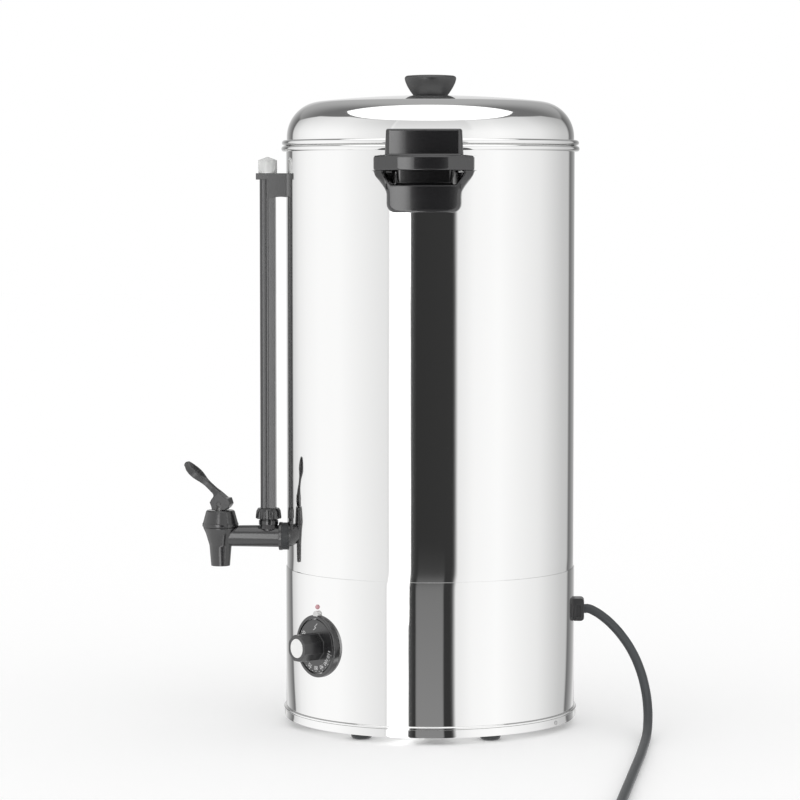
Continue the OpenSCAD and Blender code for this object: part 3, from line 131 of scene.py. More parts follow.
class Wire:
    """A socket that takes part in sums and products."""

    def __init__(self, graph, socket):
        self.graph = graph
        self.socket = socket

    def __add__(self, other):
        return self.graph.maths("ADD", self, other)

    __radd__ = __add__

    def __sub__(self, other):
        return self.graph.maths("SUBTRACT", self, other)

    def __rsub__(self, other):
        return self.graph.maths("SUBTRACT", other, self)

    def __mul__(self, other):
        return self.graph.maths("MULTIPLY", self, other)

    __rmul__ = __mul__

    def __truediv__(self, other):
        return self.graph.maths("DIVIDE", self, other)


class Graph:
    """A node tree that is filled by calls."""

    def __init__(self, tree):
        self.tree = tree
        tree.nodes.clear()

    def node(self, kind, settings=None, inputs=None, output=0):
        """Adds a node, with its settings first and then its sockets, and gives one output."""
        node = self.tree.nodes.new(kind)
        for name, value in (settings or {}).items():
            if name == "stops":
                self.set_stops(node.color_ramp, value)
            else:
                setattr(node, name, value)
        for name, value in (inputs or {}).items():
            if isinstance(value, Wire):
                self.tree.links.new(value.socket, node.inputs[name])
            else:
                node.inputs[name].default_value = value
        return Wire(self, node.outputs[output]) if node.outputs else None

    def set_stops(self, ramp, stops):
        """Gives a ramp grey stops, as (position, brightness)."""
        while len(ramp.elements) < len(stops):
            ramp.elements.new(1.0)
        for element, (position, grey) in zip(ramp.elements, stops):
            element.position = position
            element.color = (grey, grey, grey, 1)

    def maths(self, operation, *values):
        """A Math node on numbers or wires."""
        return self.node("ShaderNodeMath", {"operation": operation}, dict(enumerate(values)))

    def step(self, value, low, high):
        """0 below low, 1 above high, and a soft step between."""
        return self.node(
            "ShaderNodeMapRange", {"interpolation_type": "SMOOTHSTEP"},
            {"Value": value, "From Min": low, "From Max": high})

    def blend(self, factor, first, second):
        """Mixes two colours."""
        return self.node(
            "ShaderNodeMix", {"data_type": "RGBA"}, {0: factor, 6: first, 7: second}, 2)

    def axes(self, vector):
        """The three parts of a vector."""
        parts = self.node("ShaderNodeSeparateXYZ", inputs={0: vector})
        return [Wire(self, socket) for socket in parts.socket.node.outputs]


class Finish(Graph):
    """A material for one kind of surface."""

    def __init__(self, name):
        self.material = bpy.data.materials.new(name)
        self.material.use_nodes = True
        super().__init__(self.material.node_tree)

    def noise(self, scale, stretch=(1, 1, 1), detail=3.0):
        """Noise in the piece's own space, larger along an axis whose stretch is small."""
        place = self.node("ShaderNodeTexCoord", output="Object")
        place = self.node("ShaderNodeMapping", inputs={"Vector": place, "Scale": stretch})
        return self.node(
            "ShaderNodeTexNoise",
            inputs={"Vector": place, "Scale": scale, "Detail": detail, "Roughness": 0.5})

    def bump(self, height, strength, distance):
        """A relief of that depth in metres."""
        return self.node(
            "ShaderNodeBump", inputs={"Height": height, "Strength": strength, "Distance": distance})

    def done(self, **sockets):
        """Ends the material in one Principled shader and returns it."""
        names = {name.replace("_", " "): value for name, value in sockets.items()}
        shader = self.node("ShaderNodeBsdfPrincipled", inputs=names)
        self.node("ShaderNodeOutputMaterial", inputs={"Surface": shader})
        return self.material


def once(build):
    """Makes a material the first time that it is asked for."""
    def material(*values):
        name = "_".join(["urn", build.__name__, *map(str, values)])
        return bpy.data.materials.get(name) or build(name, *values)
    return material


def rgba(values, factor=1.0):
    """A colour with its alpha, made lighter or darker by a factor."""
    return (*[min(1.0, value * factor) for value in values], 1.0)


# ---- finishes ----

@once
def mirror_steel(name):
    """Steel sheet polished to a mirror, with faint lines from the polishing wheel."""
    finish = Finish(name)
    steel = bpy.context.scene.urn_colours.steel
    lines = finish.noise(260, (1, 1, 0.05), 4)
    clouds = finish.noise(9, (1, 1, 0.5), 2)
    waves = finish.noise(7, (1, 1, 0.35), 1)
    return finish.done(
        Base_Color=finish.blend(clouds, rgba(steel, 0.985), rgba(steel, 1.01)),
        Metallic=1.0,
        Roughness=0.028 + 0.02 * lines + 0.02 * clouds,
        Normal=finish.bump(waves + 0.02 * lines, 0.25, 0.0012))


@once
def satin_steel(name):
    """Steel sheet as it comes from the rolling mill, for the tank's inside."""
    finish = Finish(name)
    steel = bpy.context.scene.urn_colours.steel
    grain = finish.noise(500, (1, 1, 0.06), 3)
    return finish.done(
        Base_Color=finish.blend(grain, rgba(steel, 0.9), rgba(steel)),
        Metallic=0.65,
        Roughness=0.38 + 0.14 * grain)


@once
def plain_steel(name, grey):
    """Steel as it comes from the press or the lathe."""
    finish = Finish(name)
    grain = finish.noise(420, (1, 1, 1), 3)
    return finish.done(
        Base_Color=finish.blend(grain, (grey * 0.93,) * 3 + (1,), (grey,) * 3 + (1,)),
        Metallic=1.0,
        Roughness=0.2 + 0.12 * grain)


@once
def moulding(name, roughness):
    """Black moulded plastic."""
    finish = Finish(name)
    black = bpy.context.scene.urn_colours.moulding
    cloud = finish.noise(38, detail=4)
    grain = finish.noise(1500, detail=2)
    return finish.done(
        Base_Color=finish.blend(cloud, rgba(black, 0.9), rgba(black, 1.15)),
        Roughness=roughness - 0.03 + 0.06 * cloud,
        Specular_IOR_Level=1.0,
        Normal=finish.bump(grain, 0.12, 0.00006))


@once
def soft_rubber(name, sheen):
    """Rubber of the cord, the plug and the feet."""
    finish = Finish(name)
    rubber = bpy.context.scene.urn_colours.rubber
    cloud = finish.noise(60, detail=5)
    grain = finish.noise(2200, detail=2)
    return finish.done(
        Base_Color=finish.blend(cloud, rgba(rubber, 0.85 * sheen), rgba(rubber, 1.15 * sheen)),
        Roughness=0.42 + 0.1 * cloud,
        Normal=finish.bump(grain, 0.2, 0.00008))


@once
def silicone(name, pale):
    """Silicone rubber, red in the seals and clear in the seat cup."""
    finish = Finish(name)
    tint = (0.75, 0.75, 0.72) if pale else bpy.context.scene.urn_colours.silicone
    cloud = finish.noise(90, detail=3)
    return finish.done(
        Base_Color=finish.blend(cloud, rgba(tint, 0.9), rgba(tint, 1.05)),
        Roughness=0.45 + 0.1 * cloud,
        Subsurface_Weight=0.15,
        Subsurface_Radius=(0.004, 0.002, 0.002))


@once
def metal(name, red, green, blue, roughness):
    """A plain metal, such as brass, copper or aluminium."""
    finish = Finish(name)
    grain = finish.noise(300, detail=4)
    tint = (red, green, blue)
    return finish.done(
        Base_Color=finish.blend(grain, rgba(tint, 0.9), rgba(tint)),
        Metallic=1.0,
        Roughness=roughness + 0.1 * grain)


@once
def pale_moulding(name, grey, roughness):
    """White or grey moulded plastic."""
    finish = Finish(name)
    cloud = finish.noise(50, detail=3)
    tint = (grey, grey, grey * 0.985)
    return finish.done(
        Base_Color=finish.blend(cloud, rgba(tint, 0.97), rgba(tint)),
        Roughness=roughness + 0.08 * cloud)


@once
def cap_nylon(name):
    """Milky nylon that lets some light through."""
    finish = Finish(name)
    cloud = finish.noise(120, detail=3)
    return finish.done(
        Base_Color=finish.blend(cloud, (0.8, 0.81, 0.8, 1), (0.88, 0.88, 0.87, 1)),
        Roughness=0.18 + 0.1 * cloud,
        Transmission_Weight=0.2,
        Subsurface_Weight=0.3,
        Subsurface_Radius=(0.006, 0.006, 0.006))


@once
def gauge_glass(name):
    """Clear glass of the sight tube."""
    finish = Finish(name)
    cloud = finish.noise(40, detail=1)
    return finish.done(
        Base_Color=(0.95, 0.975, 0.97, 1),
        Roughness=0.01 + 0.02 * cloud,
        IOR=1.47,
        Transmission_Weight=1.0)


@once
def lamp_red(name):
    """Red lens, with painted glare that makes its colour pale pink."""
    finish = Finish(name)
    red = bpy.context.scene.urn_colours.lamp
    cloud = finish.noise(400, detail=2)
    return finish.done(
        Base_Color=finish.blend(cloud, rgba(red, 0.9), rgba(red, 1.1)),
        Roughness=0.12 + 0.06 * cloud,
        Coat_Weight=0.6,
        Coat_Roughness=0.05)


@once
def dial_print(name):
    """Printed marks."""
    finish = Finish(name)
    cloud = finish.noise(900, detail=2)
    ink = bpy.context.scene.urn_colours.print
    return finish.done(
        Base_Color=finish.blend(cloud, rgba(ink, 0.85), rgba(ink)),
        Roughness=0.45 + 0.1 * cloud)


# ---- shapes ----

def arc(x, z, radius, start, end, steps):
    """Points of an arc in the plane of radius and height, with its angles in degrees."""
    angles = [math.radians(start + (end - start) * i / steps) for i in range(steps + 1)]
    return [(x + radius * math.cos(a), z + radius * math.sin(a)) for a in angles]


def on_circle(x, z, radius, at_x=None, at_z=None, upper=True):
    """The angle at which a circle meets an upright line, or a level line on its inner side."""
    if at_x is not None:
        dx = at_x - x
        dz = math.sqrt(radius ** 2 - dx ** 2) * (1 if upper else -1)
    else:
        dz = at_z - z
        dx = -math.sqrt(radius ** 2 - dz ** 2)
    return math.degrees(math.atan2(dz, dx))


def piece_from(name, shape, material):
    """Makes a smooth-shaded piece of a bmesh, with its sharp bends left sharp."""
    mesh = bpy.data.meshes.new(name)
    shape.to_mesh(mesh)
    shape.free()
    mesh.polygons.foreach_set("use_smooth", [True] * len(mesh.polygons))
    mesh.set_sharp_from_angle(angle=math.radians(SHARP_BEND))
    mesh.materials.append(material)
    piece = bpy.data.objects.new(name, mesh)
    bpy.context.scene.collection.objects.link(piece)
    return piece


def even_normals(piece):
    """Lets the large faces set the shading, so that flats look flat."""
    normals = piece.modifiers.new("even normals", "WEIGHTED_NORMAL")
    normals.keep_sharp = True
    normals.weight = 80


def lathe(name, outline, material, steps, ring=False, place=None):
    """Turns an outline of (radius, height) round Z. A ring's outline closes on itself, and
    any other starts and ends on the axis."""
    shape = bmesh.new()
    points = [shape.verts.new((radius, 0, height)) for radius, height in outline]
    follow = points[1:] + points[:1] if ring else points[1:]
    edges = [shape.edges.new(pair) for pair in zip(points, follow)]
    bmesh.ops.spin(
        shape, geom=points + edges, cent=(0, 0, 0), axis=(0, 0, 1), angle=FULL_TURN,
        steps=steps, use_merge=True, use_duplicate=False)
    bmesh.ops.remove_doubles(shape, verts=shape.verts, dist=1e-7)
    bmesh.ops.recalc_face_normals(shape, faces=shape.faces)
    if place is not None:
        shape.transform(place)
    piece = piece_from(name, shape, material)
    even_normals(piece)
    return piece


def facing(angle, height=0.0):
    """The place of a piece that is made along +Z and points out of the wall at an angle:
    its X is to the right as seen from outside, and its Y is up."""
    out = Vector((math.cos(math.radians(angle)), math.sin(math.radians(angle)), 0))
    right = Vector((-out.y, out.x, 0))
    up = Vector((0, 0, 1))
    return Matrix.Translation(up * height) @ Matrix((right, up, out)).transposed().to_4x4()


def settle(piece, body, slot, *nodes):
    """Puts a finished piece on its body and in its nodes' place; its slot is not used."""
    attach(piece, body)
    if nodes:
        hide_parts(*nodes)
    return piece


def body_of(node):
    """The body that a node belongs to."""
    bodies = frame["record"]["behaviour"]["bodies"]
    return next(body for body, nodes in bodies.items() if node in nodes)


def slot_of(node):
    """The material slot that the record gives a node."""
    rows = frame["record"]["subparts"]
    return next(row["material_slot"] for row in rows if row["node"] == node)


def dress(node, material):
    """Gives a node that stays its finish."""
    slots = frame["nodes"][node].data.materials
    slots.clear()
    slots.append(material)


def refine(node, material, rounding, segments=2, work=None):
    """Stands in for a node with its faces cleaned, its form worked on and its edges rounded."""
    shape = bmesh.new()
    shape.from_mesh(frame["nodes"][node].data)
    bmesh.ops.remove_doubles(shape, verts=shape.verts, dist=1e-6)
    bmesh.ops.dissolve_limit(
        shape, angle_limit=math.radians(0.6), verts=shape.verts, edges=shape.edges)
    if work:
        work(shape)
    piece = piece_from(node + "_form", shape, material)
    if rounding:
        bevel = piece.modifiers.new("rounded edges", "BEVEL")
        bevel.width = rounding
        bevel.segments = segments
        bevel.limit_method = "ANGLE"
        bevel.angle_limit = math.radians(ROUNDED_BEND)
        bevel.use_clamp_overlap = False
    even_normals(piece)
    return settle(piece, body_of(node), slot_of(node), node)


# ---- stage ----

# The camera's place, and where it looks: turned from -X, and down, in degrees.
CAMERA_AT = (3.3204, 0.1278, 0.556)
CAMERA_TURN = 2.75
CAMERA_DOWN = 3.752
CAMERA_LENS = 143.2

# Brightness of the studio's walls as polished steel shows them, by the angle round the urn
# from the camera: side walls, a white board on the left, and the dark end with the camera.
STUDIO_WALLS = [
    (-180, 0.85), (-147.5, 0.17), (-145.5, 0.2), (-144, 0.72), (-130, 0.97), (-117, 1.07),
    (-100, 1.13), (-78, 1.13), (-62, 1.05), (-47, 0.97), (-34, 0.9), (-33, 0.5), (-31, 3.0),
    (-17, 3.0), (-15.6, 0.12), (-12, 0.035), (17.5, 0.04), (19, 0.15),
    (21, 0.95), (34, 1.09), (55, 1.14), (78, 1.03), (96, 0.95), (117, 0.76),
    (130, 0.65), (143, 0.6), (146, 0.32), (147.5, 0.16), (157, 0.3), (166, 0.45),
    (180, 0.85)]
BRIGHTEST = 3.0
# Height of the walls' top over the lid, in degrees, by the angle round the urn either way.
WALL_TOPS = [(0, 46), (90, 46), (124, 34), (144, 18), (180, 18)]


def walls(graph, around):
    """The walls' brightness at an angle round the urn, in degrees."""
    share = graph.maths("FRACT", around / 360 + 0.5)
    stops = [(angle / 360 + 0.5, grey / BRIGHTEST) for angle, grey in STUDIO_WALLS]
    return graph.node("ShaderNodeValToRGB", {"stops": stops}, {0: share}) * BRIGHTEST


class URN_OT_stage(bpy.types.Operator):
    """Sets the camera, a plain pale floor and the soft studio light"""
    bl_idname = "urn.stage"
    bl_label = "Stage"

    def execute(self, context):
        context.scene.view_settings.view_transform = "Standard"
        self.add_camera(context)
        self.add_world(context)
        self.add_floor()
        self.add_softbox()
        self.add_board()
        return {"FINISHED"}

    def add_camera(self, context):
        """Looks at the urn's right side from a little above its middle."""
        turn, down = math.radians(CAMERA_TURN), math.radians(CAMERA_DOWN)
        look = Vector((
            -math.cos(turn) * math.cos(down), -math.sin(turn) * math.cos(down), -math.sin(down)))
        data = bpy.data.cameras.new("camera")
        data.lens = CAMERA_LENS
        data.sensor_width = 36
        data.clip_end = 60
        camera = bpy.data.objects.new("camera", data)
        camera.location = CAMERA_AT
        camera.rotation_euler = look.to_track_quat("-Z", "Y").to_euler()
        context.scene.collection.objects.link(camera)
        context.scene.camera = camera

    def add_world(self, context):
        """White to the eye and to soft surfaces, and the studio's walls to polished ones."""
        world = bpy.data.worlds.new("studio")
        world.use_nodes = True
        context.scene.world = world
        graph = Graph(world.node_tree)
        x, y, z = graph.axes(graph.node("ShaderNodeTexCoord", output="Generated"))
        around = graph.maths("ARCTAN2", y, x) * math.degrees(1) - CAMERA_TURN
        rise = graph.maths("ARCSINE", z) * math.degrees(1)
        share = graph.maths("ABSOLUTE", around) / 180
        tops = [(angle / 180, top / 90) for angle, top in WALL_TOPS]
        top = graph.node("ShaderNodeValToRGB", {"stops": tops}, {0: share}) * 90
        wall = walls(graph, around)
        # Over the camera's dark end the wall is white, and all walls dim towards their top.
        over_camera = graph.step(rise, 12, 20) * (1 - graph.step(share, 0.17, 0.2))
        wall = wall + over_camera * (0.97 - wall)
        wall = wall * (1 - 0.2 * graph.step(rise / top, 0.08, 1.0))
        # The ceiling is dark, and paler behind the urn.
        ceiling = 0.18 + 0.27 * graph.step(share, 0.7, 0.95)
        above = graph.step(rise - top, -1.5, 1.5)
        seen = wall + above * (ceiling - wall)
        rays = graph.node("ShaderNodeLightPath").socket.node.outputs
        glossy = Wire(graph, rays["Is Glossy Ray"])
        strength = 1.0 + glossy * (seen - 1.0)
        light = graph.node(
            "ShaderNodeBackground", inputs={"Color": (1, 1, 1, 1), "Strength": strength})
        graph.node("ShaderNodeOutputWorld", inputs={"Surface": light})

    def add_floor(self):
        """A round floor that reaches past the view on all sides."""
        radius = 14
        shape = bmesh.new()
        bmesh.ops.create_circle(shape, cap_ends=True, segments=96, radius=radius)
        floor = piece_from("floor", shape, self.floor_finish())

    def floor_finish(self):
        """Pale and plain, and to polished steel it carries the walls' light on."""
        finish = Finish("pale_floor")
        x, y, _ = finish.axes(finish.node("ShaderNodeTexCoord", output="Object"))
        reach = finish.maths("SQRT", x * x + y * y)
        around = finish.maths("ARCTAN2", y, x) * math.degrees(1) - CAMERA_TURN
        far = finish.step(reach, 1.42, 1.6)
        # Seen from the tank's wall and not from its axis, angles are wider near the urn.
        tank_radius = 0.15
        around = around * (2 * reach / (2 * reach - tank_radius)) + 1.7 * (1 - far)
        # The painted reflection that the floor before the camera shows polished steel is dim, and dimmer
        # farther out.
        near = 0.275 - 0.05 * reach - 0.14 * far
        gap = finish.step(around, -11.2, -9.2) * (1 - finish.step(around, 10.7, 12.5))
        light = finish.maths("MAXIMUM", walls(finish, around), gap * near)
        sheen = finish.node("ShaderNodeEmission", inputs={"Strength": light})
        paint = finish.node("ShaderNodeBsdfDiffuse", inputs={"Color": (0.9, 0.9, 0.9, 1)})
        lift = finish.node("ShaderNodeEmission", inputs={"Strength": 0.1})
        pale = finish.node("ShaderNodeAddShader", inputs={0: paint, 1: lift})
        rays = finish.node("ShaderNodeLightPath").socket.node.outputs
        glossy = Wire(finish, rays["Is Glossy Ray"])
        seen = finish.node("ShaderNodeMixShader", inputs={0: glossy, 1: pale, 2: sheen})
        finish.node("ShaderNodeOutputMaterial", inputs={"Surface": seen})
        return finish.material

    def add_softbox(self):
        """A large round softbox overhead, which only polished surfaces show."""
        centre_x, radius, cut_x, height = 0.4, 1.7, -0.6, 2.66
        widening, strength = 1.1, 1.5
        shape = bmesh.new()
        bmesh.ops.create_circle(shape, cap_ends=True, segments=96, radius=radius)
        shape.transform(Matrix.Translation((centre_x, 0, height)))
        bmesh.ops.bisect_plane(
            shape, geom=shape.verts[:] + shape.edges[:] + shape.faces[:],
            plane_co=(cut_x, 0, height), plane_no=(-1, 0, 0), clear_outer=True)
        shape.transform(Matrix.Diagonal((1, widening, 1, 1)))
        self.add_light("softbox", shape, strength)

    def add_board(self):
        """A white board close on the left, which only polished surfaces show."""
        place, width, height = Vector((1.02, -0.372, 0.002)), 0.27, 0.75
        shape = bmesh.new()
        foot = [
            shape.verts.new((place.x, place.y + side * width / 2, place.z)) for side in (-1, 1)]
        edge = shape.edges.new(foot)
        risen = bmesh.ops.extrude_edge_only(shape, edges=[edge])["geom"]
        verts = [part for part in risen if isinstance(part, bmesh.types.BMVert)]
        bmesh.ops.translate(shape, verts=verts, vec=(0, 0, height))
        self.add_light("board", shape, BRIGHTEST)

    def add_light(self, name, shape, strength):
        """A glowing sheet that only polished surfaces show."""
        finish = Finish(name + "_cloth")
        light = finish.node("ShaderNodeEmission", inputs={"Strength": strength})
        finish.node("ShaderNodeOutputMaterial", inputs={"Surface": light})
        sheet = piece_from(name, shape, finish.material)
        sheet.visible_camera = False
        sheet.visible_diffuse = False
        sheet.visible_transmission = False
        sheet.visible_shadow = False


# ---- cord ----

# The cord's way from the gland down to the floor and along it, in millimetres.
CORD_ROUTE = [
    (0, 161.5, 119.5), (0, 166, 119.5), (0, 173, 116.5), (1, 181.5, 111), (4, 191, 103),
    (9, 201.5, 91.5), (17, 211.5, 77), (29, 219.5, 60), (45, 224.5, 42.5), (66, 226.5, 27),
    (92, 226, 14.5), (122, 224, 7.5), (155, 221, 4.9), (190, 218, 4.75), (225, 215, 4.75),
    (260, 211.5, 4.75), (300, 207.5, 4.75), (340, 203.5, 4.75), (380, 199.5, 4.75),
    (420, 195.5, 4.75), (460, 191.5, 4.75), (500, 188, 4.75), (536, 185.5, 4.75),
    (572, 184, 4.75)]
# The short end from the coil to the plug.
TAIL_ROUTE = [
    (663.5, 95, 14.25), (663.5, 88, 14.5), (664, 79, 15.8), (664.5, 70, 17.8),
    (665, 62, 18.75), (665, 57, 18.75)]
COIL_CENTRE = (606, 127)


def coil_route():
    """Two layers of turns, clockwise: in along the floor, up, and out on top."""
    outer, inner, low, high = 57.25, 41.8, 4.75, 14.25
    per_turn, turns, rise_from, rise_to = 24, 3.25, 1.6, 1.85
    route = []
    for i in range(int(per_turn * turns) + 1):
        turn = i / per_turn
        up = min(1, max(0, (turn - rise_from) / (rise_to - rise_from)))
        if turn <= rise_from:
            radius = outer + (inner - outer) * turn / rise_from
        elif turn <= rise_to:
            radius = inner
        else:
            radius = inner + (outer - inner) * (turn - rise_to) / (turns - rise_to)
        angle = math.radians(90 - 360 * turn)
        height = low + (high - low) * up * up * (3 - 2 * up)
        route.append((
            COIL_CENTRE[0] + radius * math.cos(angle), COIL_CENTRE[1] + radius * math.sin(angle),
            height))
    return route


class URN_OT_cord(bpy.types.Operator):
    """Lays the mains cord from its gland to the coil and the plug"""
    bl_idname = "urn.cord"
    bl_label = "Mains cord"

    def execute(self, context):
        diameter = context.scene.urn_sizes.cord
        points = [Vector(p) * MM for p in CORD_ROUTE + coil_route() + TAIL_ROUTE]
        line = bpy.data.curves.new("mains_cord", "CURVE")
        line.dimensions = "3D"
        line.bevel_depth = diameter / 2
        line.bevel_resolution = 6
        line.resolution_u = 6
        line.use_fill_caps = True
        spline = line.splines.new("BEZIER")
        spline.bezier_points.add(len(points) - 1)
        for knot, point in zip(spline.bezier_points, points):
            knot.co = point
            knot.handle_left_type = "AUTO"
            knot.handle_right_type = "AUTO"
        line.materials.append(soft_rubber(1.0))
        cord = bpy.data.objects.new("mains_cord", line)
        context.scene.collection.objects.link(cord)
        context.view_layer.update()
        cord.visible_glossy = False
        settle(cord, "urn", "cord_rubber", "cord_lead", "cord_coil", "cord_tail")
        plug = refine("plug_body", soft_rubber(0.8), 0.6 * MM)
        for piece in (plug, frame["nodes"]["plug_pins"]):
            piece.visible_glossy = False
        dress("plug_pins", metal(0.72, 0.71, 0.68, 0.12))
        return {"FINISHED"}


# ---- steel shells ----

class URN_OT_tank(bpy.types.Operator):
    """Makes the tank with its rolled rim, flat floor and skirt"""
    bl_idname = "urn.tank"
    bl_label = "Tank"

    def execute(self, context):
        sizes = context.scene.urn_sizes
        low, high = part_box("tank")
        bead, sheet = sizes.rim_bead, sizes.sheet
        wall = high.x - sizes.bead_out
        inside = wall - sheet
        bead_x, bead_z = high.x - bead, high.z - bead
        floor_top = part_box("base_shell")[1].z + 4 * MM
        corner = 8 * MM
        outline = [(0, floor_top - sheet), (inside, floor_top - sheet), (inside, low.z), (wall, low.z)]
        # Rings part the tall wall into shorter faces.
        outline += [(wall, low.z + step) for step in (0.02, 0.2, 0.4)]
        outline += arc(
            bead_x, bead_z, bead, on_circle(bead_x, bead_z, bead, at_x=wall, upper=False),
            on_circle(bead_x, bead_z, bead, at_x=inside), 28)
        outline += [(inside, bead_z - 0.01)]
        outline += arc(inside - corner, floor_top + corner, corner, 0, -90, 12)
        outline += [(0.03, floor_top), (0, floor_top)]
        tank = lathe("tank_steelwork", outline, mirror_steel(), sizes.round_steps)
        self.line_inside(tank, inside, floor_top)
        settle(tank, "urn", "tank_steel", "tank", "tank_floor")
        return {"FINISHED"}

    def line_inside(self, tank, inside, floor_top):
        """Gives the wall's inner side and the floor their duller finish."""
        near = 0.1 * MM
        tank.data.materials.append(satin_steel())
        for face in tank.data.polygons:
            radius = math.hypot(face.center.x, face.center.y)
            if radius < inside + near and face.center.z > floor_top - near:
                face.material_index = 1


class URN_OT_base(bpy.types.Operator):
    """Makes the base shell with its bead, the bottom pan, the feet and their screws"""
    bl_idname = "urn.base"
    bl_label = "Base"

    def execute(self, context):
        sizes = context.scene.urn_sizes
        low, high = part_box("base_shell")
        pan_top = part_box("base_pan")[1].z
        bead, edge, sheet = 1.3 * MM, 0.25 * MM, sizes.sheet
        wall = high.x - BASE_BEAD_OUT
        inside = wall - sheet
        bead_x, bead_z = high.x - bead, pan_top + 1.5 * MM
        web = bead / 2
        top = on_circle(bead_x, bead_z, bead, at_z=bead_z + web)
        outline = [(inside, low.z), (inside, high.z)]
        outline += arc(wall - edge, high.z - edge, edge, 90, 0, 4)
        outline += [(wall, bead_z + web + 1 * MM), (wall, bead_z + web)]
        outline += arc(bead_x, bead_z, bead, top, -top, 20)
        outline += [(wall, bead_z - web), (wall, low.z)]
        shell = lathe("base_steelwork", outline, mirror_steel(), sizes.round_steps, ring=True)
        settle(shell, "urn", "base_steel", "base_shell")
        refine("base_pan", mirror_steel(), 0)
        refine("feet", soft_rubber(0.6), 0)
        refine("pan_screws", plain_steel(0.62), 0.2 * MM)
        return {"FINISHED"}


class URN_OT_lid(bpy.types.Operator):
    """Makes the domed lid with its bead and locating ring, its knob and the knob's screw"""
    bl_idname = "urn.lid"
    bl_label = "Lid and knob"

    def execute(self, context):
        sizes = context.scene.urn_sizes
        self.add_lid(sizes)
        self.add_knob()
        refine("lid_screw", plain_steel(0.62), 0.2 * MM, work=self.lower)
        return {"FINISHED"}

    def lower(self, shape):
        """Brings the knob's screw down with the crown."""
        bmesh.ops.translate(shape, verts=shape.verts, vec=(0, 0, -CROWN_DROP))

    def add_lid(self, sizes):
        """The lid: a low dome that its shoulder blends into an upright side over the bead."""
        low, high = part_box("lid")
        bead, sheet, shoulder = sizes.lid_bead, sizes.sheet, sizes.lid_shoulder
        upright, ring_gap = 6 * MM, 1.6 * MM
        side = high.x - sizes.bead_out
        bead_x, bead_z = high.x - bead, low.z + bead
        shoulder_x, shoulder_z = side - shoulder, bead_z + upright
        top = high.z - CROWN_DROP
        rise = top - shoulder_z
        crown = (shoulder_x ** 2 + rise ** 2 - shoulder ** 2) / (2 * (rise - shoulder))
        tilt = 90 - math.degrees(math.asin(shoulder_x / (crown - shoulder)))

        def dome(step):
            return (arc(shoulder_x, shoulder_z, shoulder - step, 0, tilt, 28)
                    + arc(0, top - crown, crown - step, tilt, 90, 24)[1:])

        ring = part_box("tank")[1].x - sizes.bead_out - sheet - ring_gap
        flange = sheet / 2
        outline = dome(sheet)[::-1]
        outline += [(side - sheet, bead_z + flange), (ring - sheet, bead_z + flange)]
        ring_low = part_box("lid_ring")[0].z
        outline += [(ring - sheet, ring_low), (ring, ring_low), (ring, bead_z - flange)]
        outline += arc(
            bead_x, bead_z, bead, on_circle(bead_x, bead_z, bead, at_z=bead_z - flange),
            on_circle(bead_x, bead_z, bead, at_x=side), 28)
        outline += dome(0)
        outline[0] = (0, outline[0][1])
        outline[-1] = (0, outline[-1][1])
        lid = lathe("lid_steelwork", outline, mirror_steel(), sizes.round_steps)
        settle(lid, "lid", "lid_steel", "lid", "lid_ring")

    def add_knob(self):
        """A knob that flares from its foot up to a rounded rim, with a slightly domed top."""
        low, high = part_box("lid_knob")
        rim, height, foot, edge = high.x, high.z - low.z + CROWN_DROP, 17.7 * MM, 3 * MM
        dome, flare, side_steps, top_steps = 0.9 * MM, 1.5, 20, 12
        widest = height - edge - dome
        outline = [(0, 0)]
        for i in range(side_steps):
            radius = rim - (rim - foot) * (1 - i / side_steps) ** flare
            outline.append((radius, widest * i / side_steps))
        outline += arc(rim - edge, widest, edge, 0, 80, 12)
        top_x, top_z = outline[-1]
        for i in reversed(range(top_steps)):
            share = i / top_steps
            outline.append((top_x * i / top_steps, height - (height - top_z) * share ** 2))
        place = Matrix.Translation((0, 0, low.z - CROWN_DROP))
        knob = lathe("knob_form", outline, moulding(0.4), 96, place=place)
        settle(knob, "lid", "knob_plastic", "lid_knob")


# ---- mouldings ----

# A front of a handle that the frame has as flat strips: how far out its middle lies, its half
# width, the number of strips, the radius that they are bent to, and its radius here.
Front = namedtuple("Front", "out half strips bend bow")
LEDGE = Front(192 * MM, 25 * MM, 6, 120 * MM, 115 * MM)
BLOCK = Front(172 * MM, 35 * MM, 8, 76 * MM, 230 * MM)
BODY = Front(178 * MM, 50.8 * MM, 8, 74 * MM, 155 * MM)
# Behind this distance from the urn's axis, the handles stay as in the frame.
HANDLE_BACK = 152 * MM


